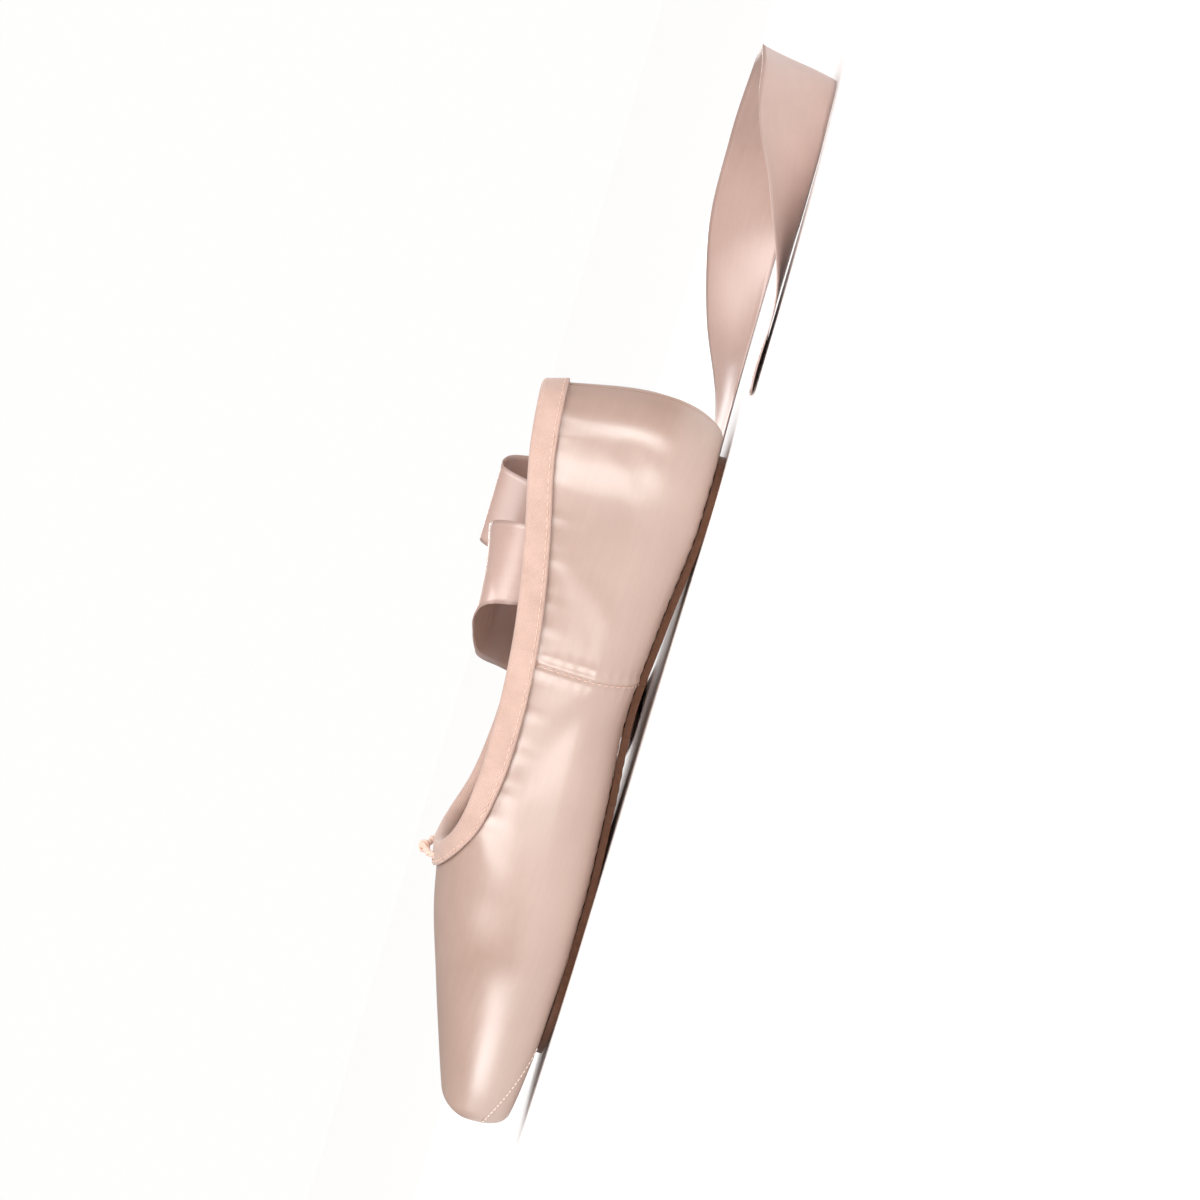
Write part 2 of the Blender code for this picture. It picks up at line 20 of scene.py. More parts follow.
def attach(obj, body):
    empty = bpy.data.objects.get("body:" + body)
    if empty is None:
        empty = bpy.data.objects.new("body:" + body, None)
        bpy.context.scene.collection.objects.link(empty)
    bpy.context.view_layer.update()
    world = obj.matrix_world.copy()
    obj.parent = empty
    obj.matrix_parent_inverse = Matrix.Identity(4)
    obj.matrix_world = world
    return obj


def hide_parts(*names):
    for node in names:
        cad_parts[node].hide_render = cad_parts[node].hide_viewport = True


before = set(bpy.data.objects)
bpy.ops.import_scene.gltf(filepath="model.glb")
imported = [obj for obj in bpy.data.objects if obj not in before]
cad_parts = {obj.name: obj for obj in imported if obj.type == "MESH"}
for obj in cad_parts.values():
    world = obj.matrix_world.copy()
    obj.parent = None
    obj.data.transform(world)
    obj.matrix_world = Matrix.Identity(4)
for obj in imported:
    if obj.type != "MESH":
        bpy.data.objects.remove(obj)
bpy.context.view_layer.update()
print("nodes:", sorted(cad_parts))

# %% [markdown]
# ## Sizes
# A last is the form that a shoe is made over. The satin follows the same last as the solid model,
# so the sizes and the table of sections are the same ones. The loaded mesh could be read instead,
# but it is too coarse for seams and stitches, and a table can be worked out as finely as needed.
# A station is 0 at the back of the heel, 1 at the throat and 2 at the platform.

# %% Sizes of the last, walls and sole
LENGTH = 0.232
BALL_WIDTH = 0.076
HEEL_WIDTH = 0.053
PLATFORM_WIDTH = 0.043
PLATFORM_HEIGHT = 0.0205
PLATFORM_EDGE = 0.0045
VAMP_LENGTH = 0.078
THROAT_HEIGHT = 0.050
SIDE_HEIGHT = 0.042
HEEL_HEIGHT = 0.058
CONE_HEIGHT = 0.088
ARCH_RISE = 0.0040
TOE_SPRING = 0.0032
HEEL_ROUND = 0.028
HEEL_LEAN = 0.0065
HEEL_UNDERCUT = 0.0085
HEEL_BULGE_HEIGHT = 0.021
BOX_WALL = 0.0028
QUARTER_WALL = 0.0015
CLEARANCE = 0.0003
SOLE_THICKNESS = 0.0022
SOLE_BALL_WIDTH = 0.050
SOLE_WAIST_WIDTH = 0.027
SOLE_HEEL_WIDTH = 0.033
SOLE_TOE_GAP = 0.022
SOLE_HEEL_GAP = 0.013
LASTING_MARGIN = 0.0055
INSOLE_THICKNESS = 0.0015
INSOLE_TOE_GAP = 0.014
SIDE_SEAM_FROM_HEEL = 0.082
BINDING_WIDTH = 0.0060
BINDING_INSIDE = 0.0050
BINDING_THICKNESS = 0.0008
BINDING_GAP = 0.0005
CORD_DIAMETER = 0.0022
RIBBON_WIDTH = 0.025
RIBBON_THICKNESS = 0.0003
RIBBON_FROM_HEEL = 0.056
RIBBON_SEWN = 0.024

HEEL_X = -LENGTH / 2
TOE_X = LENGTH / 2
THROAT_X = TOE_X - VAMP_LENGTH
SIDE_SEAM_X = HEEL_X + SIDE_SEAM_FROM_HEEL
UNDERSIDE = SOLE_THICKNESS + CLEARANCE
PLATFORM_TOP = UNDERSIDE + TOE_SPRING + PLATFORM_HEIGHT
PLATFORM_MIDDLE = UNDERSIDE + TOE_SPRING + PLATFORM_HEIGHT / 2

# %% The last's sections and the collar's line
Section = namedtuple("Section", "station width widest crown feather rise")
SECTIONS = (
    Section(0.00, HEEL_WIDTH * 0.97, HEEL_BULGE_HEIGHT, CONE_HEIGHT, SOLE_HEEL_WIDTH * 0.97, 0),
    Section(0.20, HEEL_WIDTH, HEEL_BULGE_HEIGHT, CONE_HEIGHT, SOLE_HEEL_WIDTH, 0),
    Section(0.42, HEEL_WIDTH * 1.02, HEEL_BULGE_HEIGHT, CONE_HEIGHT * 0.96,
            SOLE_WAIST_WIDTH * 1.06, ARCH_RISE * 0.62),
    Section(0.62, BALL_WIDTH * 0.785, THROAT_HEIGHT * 0.42, CONE_HEIGHT * 0.84,
            SOLE_WAIST_WIDTH * 1.03, ARCH_RISE),
    Section(0.80, BALL_WIDTH * 0.90, THROAT_HEIGHT * 0.40, THROAT_HEIGHT * 1.17,
            SOLE_BALL_WIDTH * 0.74, ARCH_RISE * 0.45),
    Section(1.00, BALL_WIDTH * 0.985, THROAT_HEIGHT * 0.37, THROAT_HEIGHT,
            SOLE_BALL_WIDTH * 0.97, 0),
    Section(1.22, BALL_WIDTH * 0.995, THROAT_HEIGHT * 0.34, THROAT_HEIGHT * 0.925,
            SOLE_BALL_WIDTH, 0),
    Section(1.50, BALL_WIDTH * 0.89, THROAT_HEIGHT * 0.32, THROAT_HEIGHT * 0.79,
            SOLE_BALL_WIDTH * 0.94, TOE_SPRING * 0.08),
    Section(1.80, PLATFORM_WIDTH * 1.27, PLATFORM_MIDDLE * 0.97, PLATFORM_TOP * 1.22,
            SOLE_BALL_WIDTH * 0.74, TOE_SPRING * 0.52),
    Section(2.00, PLATFORM_WIDTH, PLATFORM_MIDDLE, PLATFORM_TOP, PLATFORM_WIDTH * 0.60, TOE_SPRING),
)
COLLAR = (
    (0.00, HEEL_HEIGHT),
    (0.13, HEEL_HEIGHT * 0.955),
    (0.30, SIDE_HEIGHT * 1.175),
    (0.48, SIDE_HEIGHT * 1.055),
    (0.66, SIDE_HEIGHT),
    (0.80, SIDE_HEIGHT * 1.005),
    (0.91, THROAT_HEIGHT * 0.892),
    (1.00, THROAT_HEIGHT),
)


def station_x(station):
    """The place along the shoe of a station."""
    return np.interp(station, (0, 1, 2), (HEEL_X, THROAT_X, TOE_X))


def smooth_curve(places, values):
    """A function that runs smoothly through the values at the places, and level beyond them."""
    places, values = np.array(places, float), np.array(values, float)
    slopes = np.gradient(values, places)

    def curve(at):
        at = np.clip(at, places[0], places[-1])
        i = np.clip(np.searchsorted(places, at, side="right") - 1, 0, len(places) - 2)
        gap = places[i + 1] - places[i]
        t = (at - places[i]) / gap
        start = (1 + 2 * t) * (1 - t) ** 2 * values[i] + t * (1 - t) ** 2 * gap * slopes[i]
        end = t**2 * (3 - 2 * t) * values[i + 1] - t**2 * (1 - t) * gap * slopes[i + 1]
        return start + end

    return curve


def section_curve(column, share=1.0):
    """How one column of the sections runs along the shoe."""
    places = [station_x(section.station) for section in SECTIONS]
    return smooth_curve(places, [getattr(section, column) * share for section in SECTIONS])


half_width_at = section_curve("width", 0.5)
feather_at = section_curve("feather", 0.5)
widest_at = section_curve("widest")
crown_at = section_curve("crown")
level_rise_at = section_curve("rise")
collar_at = smooth_curve([station_x(row[0]) for row in COLLAR], [row[1] for row in COLLAR])
upper_power_at = smooth_curve([HEEL_X, THROAT_X, TOE_X], [2.0, 2.15, 2.5])
print("length and ball width in mm:", LENGTH * 1000, BALL_WIDTH * 1000)

# %% [markdown]
# ## The form of the last
# Each section is flat underneath, bulges at its widest height and closes over the top. The heel
# is rounded in plan and in profile, and the platform's edge is rounded by shrinking the sections.
# The form could be lofted between curves or sculpted. One function of place and height is used
# here, because sole, binding, seams and stitches can all ask it where the surface is.


# %% How wide the form is at any place and height
def rise_at(x):
    """How far the flat underside is lifted off the floor's plane."""
    return np.maximum(level_rise_at(x), 0)


def rounded(share, power=2.0):
    """A rounded end: 0 at share 0, and 1 from share 1 on."""
    return (1 - (1 - np.clip(share, 0, 1)) ** power) ** (1 / power)


def heel_setback(z):
    """How far the back of the heel lies in from its bulge at a height."""
    below = np.clip((HEEL_BULGE_HEIGHT - z) / (HEEL_BULGE_HEIGHT - UNDERSIDE), 0, 1)
    above = np.clip((z - HEEL_BULGE_HEIGHT) / (HEEL_HEIGHT - HEEL_BULGE_HEIGHT), 0, None)
    return HEEL_UNDERCUT * (1 - np.sqrt(1 - below**2)) + HEEL_LEAN * above**1.7


def form_half_width(x, z):
    """Half the width of the lasted form at a place and height, and below 0 outside the form."""
    past = np.clip((x - TOE_X + PLATFORM_EDGE) / PLATFORM_EDGE, 0, 1)
    tuck = PLATFORM_EDGE * (1 - np.sqrt(1 - past**2))
    heel = rounded((x - HEEL_X - heel_setback(z)) / HEEL_ROUND, 2.1)
    wide = (half_width_at(x) - tuck) * heel
    flat = np.minimum(feather_at(x) * heel, wide)
    widest, top, bottom = widest_at(x), crown_at(x) - tuck, UNDERSIDE + rise_at(x) + tuck
    above = np.clip((z - widest) / (top - widest), 0, 1)
    below = np.clip((widest - z) / (widest - bottom), 0, 1)
    power = upper_power_at(x)
    high = wide * (1 - above**power) ** (1 / power)
    low = flat + (wide - flat) * np.sqrt(1 - below**2)
    outside = (z < bottom) | (z > top) | (x > TOE_X) | (heel <= 0)
    return np.where(outside, -1.0, np.where(z > widest, high, low))


# %% The sole's outline
def sole_half_width(x, inset=0.0):
    """Half the outsole's width, or that of a line that lies inset inside its edge."""
    heel_end, toe_end = HEEL_X + SOLE_HEEL_GAP + inset, TOE_X - SOLE_TOE_GAP - inset
    half = feather_at(x) - inset
    heel = rounded((x - heel_end) / (SOLE_HEEL_WIDTH / 2 - inset))
    toe = rounded((toe_end - x) / (SOLE_BALL_WIDTH / 2 - inset))
    return np.where((x <= heel_end) | (x >= toe_end), -1.0, half * heel * toe)


widths = [2000 * float(form_half_width(x, widest_at(x))) for x in (station_x(0.2), THROAT_X)]
print("widths over heel and throat in mm:", [round(width, 1) for width in widths])


# %% [markdown]
# ## Camera, floor and light
# The camera looks at the side of the shoe from a little behind it, rolled so that the toe points
# down as in the photograph, and it stays just above the floor. It comes first, because everything
# after it is judged through it. A camera could be aimed by a constraint, but that leaves its roll
# to chance, so its three directions are worked out from three angles.

# %% Camera
AZIMUTH, ELEVATION, ROLL = math.radians(196), math.radians(1.2), math.radians(-73.5)
CAMERA_DISTANCE = 1.6
FRAME_HEIGHT = 0.362
SENSOR = 36
AIM = np.array([-0.050, 0.0, 0.024])


def view_basis(azimuth, elevation, roll):
    """The camera's right, up and back directions."""
    back = np.array([
        math.sin(azimuth) * math.cos(elevation),
        -math.cos(azimuth) * math.cos(elevation),
        math.sin(elevation),
    ])
    level = np.cross((0, 0, 1), back)
    level /= np.linalg.norm(level)
    upright = np.cross(back, level)
    right = math.cos(roll) * level + math.sin(roll) * upright
    return right, np.cross(back, right), back


right, up, back = view_basis(AZIMUTH, ELEVATION, ROLL)
camera_data = bpy.data.cameras.new("camera")
camera_data.sensor_width = SENSOR
camera_data.lens = SENSOR * CAMERA_DISTANCE / FRAME_HEIGHT
camera = bpy.data.objects.new("camera", camera_data)
bpy.context.scene.collection.objects.link(camera)
place = AIM + back * CAMERA_DISTANCE
camera.matrix_world = Matrix([[*row] for row in zip(right, up, back, place)] + [[0, 0, 0, 1]])
bpy.context.scene.camera = camera
print("camera height above the floor in mm:", round(place[2] * 1000))

# %% [markdown]
# Satin shows its form by its sheen, so it is lit by a few large soft boxes over an even white
# studio. A wide sun keeps the floor evenly pale out to the horizon. A picture of a studio could
# light it as well, but boxes can be placed one at a time, each for one highlight: along the side,
# on the heel, on the toe and on the far side.

# %% Soft boxes
Light = namedtuple("Light", "name place aim size power")
LIGHTS = (
    Light("key", (-0.30, 1.20, 0.15), (-0.01, 0.0, 0.02), (0.8, 0.20), 2.7),
    Light("heel_side", (-1.05, 0.42, 0.20), (-0.08, 0.0, 0.02), (0.30, 0.3), 1.9),
    Light("toe_side", (0.95, 0.70, 0.16), (0.08, 0.0, 0.02), (0.40, 0.2), 2.1),
    Light("far_side", (0.10, -1.15, 0.40), (0.0, 0.0, 0.03), (0.7, 0.35), 4.0),
)


def soft_box(row):
    """A rectangular area light that faces its aim."""
    data = bpy.data.lights.new(row.name, "AREA")
    data.shape = "RECTANGLE"
    data.size, data.size_y = row.size
    data.energy = row.power
    light = bpy.data.objects.new(row.name, data)
    light.location = row.place
    toward = Vector(row.aim) - Vector(row.place)
    light.rotation_euler = toward.to_track_quat("-Z", "Y").to_euler()
    bpy.context.scene.collection.objects.link(light)


for row in LIGHTS:
    soft_box(row)
print("lights:", [row.name for row in LIGHTS])

# %% Sun, floor and sky
SUN_POWER, SUN_SPREAD = 2.75, math.radians(60)
SUN_TOWARD = (0.25, -0.75, -1.0)
FLOOR_SIZE, FLOOR_COLOUR = 400, (0.97, 0.965, 0.96, 1)
SKY_LIGHT, SKY_SEEN = 0.38, 1.0
SKY_COLOUR = (1, 0.995, 0.99, 1)

sun_data = bpy.data.lights.new("sun", "SUN")
sun_data.energy, sun_data.angle = SUN_POWER, SUN_SPREAD
sun = bpy.data.objects.new("sun", sun_data)
sun.rotation_euler = Vector(SUN_TOWARD).to_track_quat("-Z", "Y").to_euler()
bpy.context.scene.collection.objects.link(sun)

bpy.ops.mesh.primitive_plane_add(size=FLOOR_SIZE)
floor = bpy.context.active_object
floor.name = "floor"
floor_paint = bpy.data.materials.new("floor_paint")
floor_paint.use_nodes = True
shader = floor_paint.node_tree.nodes["Principled BSDF"]
shader.inputs["Base Color"].default_value = FLOOR_COLOUR
shader.inputs["Roughness"].default_value = 0.9
floor.data.materials.append(floor_paint)

world = bpy.data.worlds.new("studio")
bpy.context.scene.world = world
world.use_nodes = True
seen = world.node_tree.nodes.new("ShaderNodeLightPath").outputs["Is Camera Ray"]
level = world.node_tree.nodes.new("ShaderNodeMapRange")
level.inputs["To Min"].default_value = SKY_LIGHT
level.inputs["To Max"].default_value = SKY_SEEN
world.node_tree.links.new(seen, level.inputs["Value"])
sky = world.node_tree.nodes["Background"].inputs
sky["Color"].default_value = SKY_COLOUR
world.node_tree.links.new(level.outputs["Result"], sky["Strength"])
bpy.context.scene.view_settings.view_transform = "Standard"
print("sun and sky:", SUN_POWER, SKY_LIGHT)

# %% [markdown]
# ## A small shop of shader helpers
# Materials are built from a few nodes each. Every node could be added and linked in three lines of
# its own. These helpers add a node, wire it up and hand back its output in one, so that a material
# reads as a short list of steps, and a group with named sockets serves several materials.


# %% Nodes by name
def node(tree, kind, inputs=(), **settings):
    """Adds a node, sets its properties, and links or sets its inputs by name or number."""
    made = tree.nodes.new(kind)
    for name, value in settings.items():
        setattr(made, name, value)
    for name, value in dict(inputs).items():
        if isinstance(value, bpy.types.NodeSocket):
            tree.links.new(value, made.inputs[name])
        else:
            made.inputs[name].default_value = value
    return made


def maths(tree, operation, first, second=0.0, third=0.0):
    """One step of arithmetic on values."""
    made = node(tree, "ShaderNodeMath", {0: first, 1: second, 2: third}, operation=operation)
    return made.outputs[0]


def halves(tree, first, second):
    """Half of each of two values, added."""
    return maths(
        tree, "ADD", maths(tree, "MULTIPLY", first, 0.5), maths(tree, "MULTIPLY", second, 0.5))


def blend_colours(tree, share, first, second):
    """A mix of two colours."""
    inputs = {0: share, 6: first, 7: second}
    return node(tree, "ShaderNodeMix", inputs, data_type="RGBA").outputs[2]


def graded(tree, value, low, high, to_low=0.0, to_high=1.0):
    """A value eased from one range to another."""
    made = node(
        tree, "ShaderNodeMapRange", {0: value, 1: low, 2: high, 3: to_low, 4: to_high},
        interpolation_type="SMOOTHSTEP",
    )
    return made.outputs[0]


# %% Materials and groups
def new_material(name, roughness, **constants):
    """A material with one Principled shader, and its constants set on the shader itself."""
    made = bpy.data.materials.new(name)
    made.use_nodes = True
    shader = made.node_tree.nodes["Principled BSDF"]
    shader.inputs["Roughness"].default_value = roughness
    for key, value in constants.items():
        shader.inputs[key.replace("_", " ")].default_value = value
    return made, made.node_tree, shader


def new_group(name, inputs, outputs):
    """An empty shader group with named sockets."""
    group = bpy.data.node_groups.new(name, "ShaderNodeTree")
    for label, kind, value in inputs:
        socket = group.interface.new_socket(label, in_out="INPUT", socket_type=kind)
        if value is not None:
            socket.default_value = value
    for label, kind in outputs:
        group.interface.new_socket(label, in_out="OUTPUT", socket_type=kind)
    start, end = group.nodes.new("NodeGroupInput"), group.nodes.new("NodeGroupOutput")
    return group, start.outputs, end.inputs


def placed_group(tree, group, inputs):
    """A group placed in a material, with its inputs linked or set."""
    return node(tree, "ShaderNodeGroup", inputs, node_tree=group).outputs


def on_uv(tree):
    """The piece's own UV map, in metres."""
    return node(tree, "ShaderNodeUVMap", uv_map="cloth").outputs[0]


# %% [markdown]
# ## Woven cloth
# Satin, tape, ribbon and canvas are all woven: what differs is how fine the threads are, how long
# they float, and how uneven the colour is. Threads could be modelled, but they would be millions of
# faces, and a picture of cloth blurs close up. So one group draws them with noise that is stretched
# along the thread, and with crossing waves for a plain weave. It reads the piece's own UV map,
# which is in metres, so the threads keep their size and follow the cloth round every curve.

# %% The weave group
NUMBER = "NodeSocketFloat"
weave, weave_in, weave_out = new_group(
    "weave",
    [
        ("Cloth", "NodeSocketVector", None),
        ("Threads", NUMBER, 3000.0),
        ("Float", NUMBER, 8.0),
        ("Grid", NUMBER, 0.0),
        ("Depth", NUMBER, 0.0001),
        ("Mottle", NUMBER, 60.0),
        ("Light", "NodeSocketColor", (0.8, 0.6, 0.5, 1)),
        ("Deep", "NodeSocketColor", (0.7, 0.5, 0.4, 1)),
        ("Rough", NUMBER, 0.4),
        ("Uneven", NUMBER, 0.1),
    ],
    [("Color", "NodeSocketColor"), ("Roughness", NUMBER), ("Normal", "NodeSocketVector")],
)
tree = weave
parts = node(tree, "ShaderNodeSeparateXYZ", {0: weave_in["Cloth"]}).outputs
across = maths(tree, "MULTIPLY", parts[0], weave_in["Threads"])
lengthwise = maths(tree, "DIVIDE", weave_in["Threads"], weave_in["Float"])
along = maths(tree, "MULTIPLY", parts[1], lengthwise)
stretched = node(tree, "ShaderNodeCombineXYZ", {0: across, 1: along}).outputs[0]
threads = node(
    tree, "ShaderNodeTexNoise", {"Vector": stretched, "Scale": 1.0, "Detail": 2.0}
).outputs[0]
mottle = node(
    tree, "ShaderNodeTexNoise",
    {"Vector": weave_in["Cloth"], "Scale": weave_in["Mottle"], "Detail": 3.0},
).outputs[0]
slubs = node(
    tree, "ShaderNodeTexNoise",
    {"Vector": stretched, "Scale": 0.13, "Detail": 3.0, "Roughness": 0.6},
).outputs[0]
fine = halves(tree, threads, slubs)
wave_rate = maths(tree, "MULTIPLY", weave_in["Threads"], 3.0)
crossing = [
    maths(tree, "SINE", maths(tree, "MULTIPLY", part, wave_rate)) for part in (parts[0], parts[1])
]
over = maths(tree, "MULTIPLY", maths(tree, "MULTIPLY", *crossing), weave_in["Grid"])
fine = maths(tree, "ADD", fine, over)
tone = halves(tree, fine, mottle)
tree.links.new(
    blend_colours(tree, graded(tree, tone, 0.3, 0.7), weave_in["Deep"], weave_in["Light"]),
    weave_out["Color"],
)
swing = maths(tree, "MULTIPLY", maths(tree, "SUBTRACT", tone, 0.5), weave_in["Uneven"])
tree.links.new(maths(tree, "ADD", weave_in["Rough"], swing), weave_out["Roughness"])
bump = node(
    tree, "ShaderNodeBump", {"Height": fine, "Distance": weave_in["Depth"], "Strength": 1.0})
tree.links.new(bump.outputs[0], weave_out["Normal"])
print("nodes in the weave group:", len(weave.nodes))

# %% [markdown]
# Each cloth is then one row of values for that group: its two colours, its threads in a metre, how
# many it floats over, and how deep, rough and uneven it is. Satin's long floats also stretch its
# highlight across the threads, which the shader's anisotropy does along the UV map's tangent.

# %% The four cloths
Cloth = namedtuple("Cloth", "name light deep threads floats depth rough uneven mottle grid")


def cloth_material(cloth, **constants):
    """A woven material on the piece's UV map, whose highlights lie across the threads."""
    made, tree, shader = new_material(cloth.name, cloth.rough, **constants)
    out = placed_group(tree, weave, {
        "Cloth": on_uv(tree), "Threads": cloth.threads, "Float": cloth.floats, "Depth": cloth.depth,
        "Mottle": cloth.mottle, "Light": (*cloth.light, 1), "Deep": (*cloth.deep, 1),
        "Rough": cloth.rough, "Uneven": cloth.uneven, "Grid": cloth.grid,
    })
    if constants.get("Anisotropic"):
        tangent = node(tree, "ShaderNodeTangent", direction_type="UV_MAP", uv_map="cloth")
        tree.links.new(tangent.outputs[0], shader.inputs["Tangent"])
    for given, taken in (("Color", "Base Color"), ("Roughness", "Roughness"), ("Normal", "Normal")):
        tree.links.new(out[given], shader.inputs[taken])
    return made


satin = cloth_material(
    Cloth("satin", (0.462, 0.302, 0.238), (0.39, 0.246, 0.189),
          threads=5200.0, floats=14.0, depth=0.00003,
          rough=0.34, uneven=0.20, mottle=34.0, grid=0.0),
    Anisotropic=0.6, Specular_IOR_Level=1.0, IOR=1.9,
)
ribbon_satin = cloth_material(
    Cloth("ribbon_satin", (0.51, 0.335, 0.282), (0.44, 0.283, 0.236),
          threads=4200.0, floats=10.0, depth=0.00003,
          rough=0.42, uneven=0.14, mottle=40.0, grid=0.0),
    Anisotropic=0.35, Specular_IOR_Level=0.9, IOR=1.7,
)
tape = cloth_material(
    Cloth("binding_tape", (0.63, 0.43, 0.36), (0.50, 0.33, 0.27),
          threads=2600.0, floats=1.6, depth=0.00016,
          rough=0.72, uneven=0.12, mottle=90.0, grid=0.28),
    Specular_IOR_Level=0.35, Sheen_Weight=0.25, Sheen_Roughness=0.5,
)
canvas = cloth_material(
    Cloth("sock_lining", (0.86, 0.76, 0.68), (0.74, 0.63, 0.55),
          threads=1900.0, floats=1.3, depth=0.0002,
          rough=0.88, uneven=0.10, mottle=70.0, grid=0.3),
    Specular_IOR_Level=0.25, Sheen_Weight=0.15, Sheen_Roughness=0.6,
)
print("cloths:", [m.name for m in (satin, ribbon_satin, tape, canvas)])

# %% [markdown]
# A ribbon is woven to its width, so each long edge has a selvedge: a narrow band of denser, duller
# threads. It could be a strip of its own, but a band in the colour, read from the distance across
# the ribbon in its UV map, stays exactly on the edge wherever the ribbon turns.

# %% The ribbon's selvedge
SELVEDGE = 0.0011
SELVEDGE_COLOUR = (0.36, 0.23, 0.195, 1)
tree = ribbon_satin.node_tree
base = tree.nodes["Principled BSDF"].inputs["Base Color"]
woven = base.links[0].from_socket
across = node(tree, "ShaderNodeSeparateXYZ", {0: on_uv(tree)}).outputs[0]
from_middle = maths(tree, "ABSOLUTE", maths(tree, "SUBTRACT", across, RIBBON_WIDTH / 2))
band = graded(
    tree, from_middle, RIBBON_WIDTH / 2 - SELVEDGE, RIBBON_WIDTH / 2 - SELVEDGE * 0.8, 0.0, 0.5)
tree.links.new(blend_colours(tree, band, woven, SELVEDGE_COLOUR), base)
print("selvedge in mm:", SELVEDGE * 1000)

# %% [markdown]
# ## Grids into meshes
# Every piece here is a grid of points that follows a rule. A helper turns one into a mesh with a
# UV map in metres, and another closes two grids, an outer and an inner face, into one wall. A
# Solidify modifier could make the wall, but two grids let its two faces have relief and materials
# of their own. Cords are tubes, because a tube has a UV map that runs along it.


# %% Grids of points and their faces
def run_lengths(grid, axis):
    """How far each point of a grid lies along its row or column, in metres."""
    step = np.linalg.norm(np.diff(grid, axis=axis), axis=-1)
    start = np.zeros_like(np.take(step, [0], axis=axis))
    return np.concatenate([start, np.cumsum(step, axis=axis)], axis=axis)


def unit(vectors):
    """Vectors of length 1."""
    return vectors / np.maximum(np.linalg.norm(vectors, axis=-1, keepdims=True), 1e-12)


def grid_faces(rows, columns, closed, start=0, flip=False):
    """The corner numbers of a grid's quads."""
    steps = np.arange(rows if closed else rows - 1)
    i, j = np.meshgrid(steps, np.arange(columns - 1), indexing="ij")
    near, far = i * columns + j + start, (i + 1) % rows * columns + j + start
    corners = np.stack([near, near + 1, far + 1, far], axis=-1).reshape(-1, 4)
    return corners[:, ::-1] if flip else corners


# %% A mesh with its UV map
def mesh_piece(name, points, faces, uv, materials, shares=None):
    """A smooth piece from points and quads, with a UV map called cloth."""
    mesh = bpy.data.meshes.new(name)
    mesh.from_pydata(points.tolist(), [], faces.tolist())
    for finish in materials:
        mesh.materials.append(finish)
    layer = mesh.uv_layers.new(name="cloth")
    layer.data.foreach_set("uv", uv.astype(np.float32).ravel())
    if shares is not None:
        mesh.polygons.foreach_set("material_index", shares)
    mesh.shade_smooth()
    mesh.validate()
    mesh.update()
    made = bpy.data.objects.new(name, mesh)
    bpy.context.scene.collection.objects.link(made)
    return made


def grid_uv(grid, closed, flip=False, turned=False, flat=None):
    """UV corners in metres for a grid's quads: along its rows, and along its columns."""
    ring = np.concatenate([grid, grid[:1]]) if closed else grid
    middle = ring.shape[1] // 2
    if flat is None:
        u = np.repeat(run_lengths(ring, 0)[:, middle:middle + 1], ring.shape[1], axis=1)
        v = run_lengths(ring, 1)
        flat = np.stack([v, u] if turned else [u, v], axis=-1)
    elif closed:
        flat = np.concatenate([flat, flat[:1]])
    corners = np.stack([flat[:-1, :-1], flat[:-1, 1:], flat[1:, 1:], flat[1:, :-1]], axis=2)
    corners = corners.reshape(-1, 4, 2)
    return (corners[:, ::-1] if flip else corners).reshape(-1, 2)


# %% A wall between two grids
def wall_piece(name, outer, inner, materials, flat=None):
    """A wall all round between two grids. The inner one takes the second material, if any."""
    rows, columns = outer.shape[:2]
    count = rows * columns
    faces = [grid_faces(rows, columns, True), grid_faces(rows, columns, True, count, True)]
    uvs = [grid_uv(outer, True, flat=flat), grid_uv(inner, True, True, flat=flat)]
    i = np.arange(rows)
    for edge, flip in ((0, False), (columns - 1, True)):
        near, far = i * columns + edge, (i + 1) % rows * columns + edge
        rim = np.stack([near, far, far + count, near + count], axis=-1)
        faces.append(rim[:, ::-1] if flip else rim)
        uvs.append(np.zeros((len(rim) * 4, 2)))
    lined = len(materials) > 1
    kinds = np.concatenate([np.full(len(part), k == 1 and lined) for k, part in enumerate(faces)])
    points = np.concatenate([outer.reshape(-1, 3), inner.reshape(-1, 3)])
    return mesh_piece(
        name, points, np.concatenate(faces), np.concatenate(uvs), materials, kinds.astype(int)
    )


# %% A cord along a path
def tube_piece(name, path, radius, material, sides=8):
    """A round cord along a path, closed at its ends, with its UV map along and round it."""
    path = np.array(path, float)
    tangent = unit(np.gradient(path, axis=0))
    side = np.cross(tangent[0], (0.31, 0.22, 0.92))
    sides_at = []
    for t in tangent:
        side = unit(side - (side @ t) * t)
        sides_at.append(side)
    sides_at = np.array(sides_at)
    other = np.cross(tangent, sides_at)
    turn = np.linspace(0, 2 * math.pi, sides, endpoint=False)
    ring = sides_at[:, None] * np.cos(turn)[:, None] + other[:, None] * np.sin(turn)[:, None]
    grid = path[:, None] + ring * radius
    grid = np.concatenate([grid, grid[:, :1]], axis=1)
    i, j = np.meshgrid(np.arange(len(path) - 1), np.arange(sides), indexing="ij")
    near, far, beside = i * sides, (i + 1) * sides, (j + 1) % sides
    faces = np.stack([near + j, near + beside, far + beside, far + j], axis=-1)
    faces = faces.reshape(-1, 4)[:, ::-1]
    uv = grid_uv(grid, False, flip=True, turned=True)
    made = mesh_piece(name, grid[:, :-1].reshape(-1, 3), faces, uv, [material])
    close_ends(made)
    return made


def close_ends(made):
    """Fills the open ends of a tube and points its faces outward."""
    shape = bmesh.new()
    shape.from_mesh(made.data)
    bmesh.ops.holes_fill(shape, edges=[e for e in shape.edges if e.is_boundary], sides=0)
    bmesh.ops.recalc_face_normals(shape, faces=shape.faces)
    shape.to_mesh(made.data)
    shape.free()


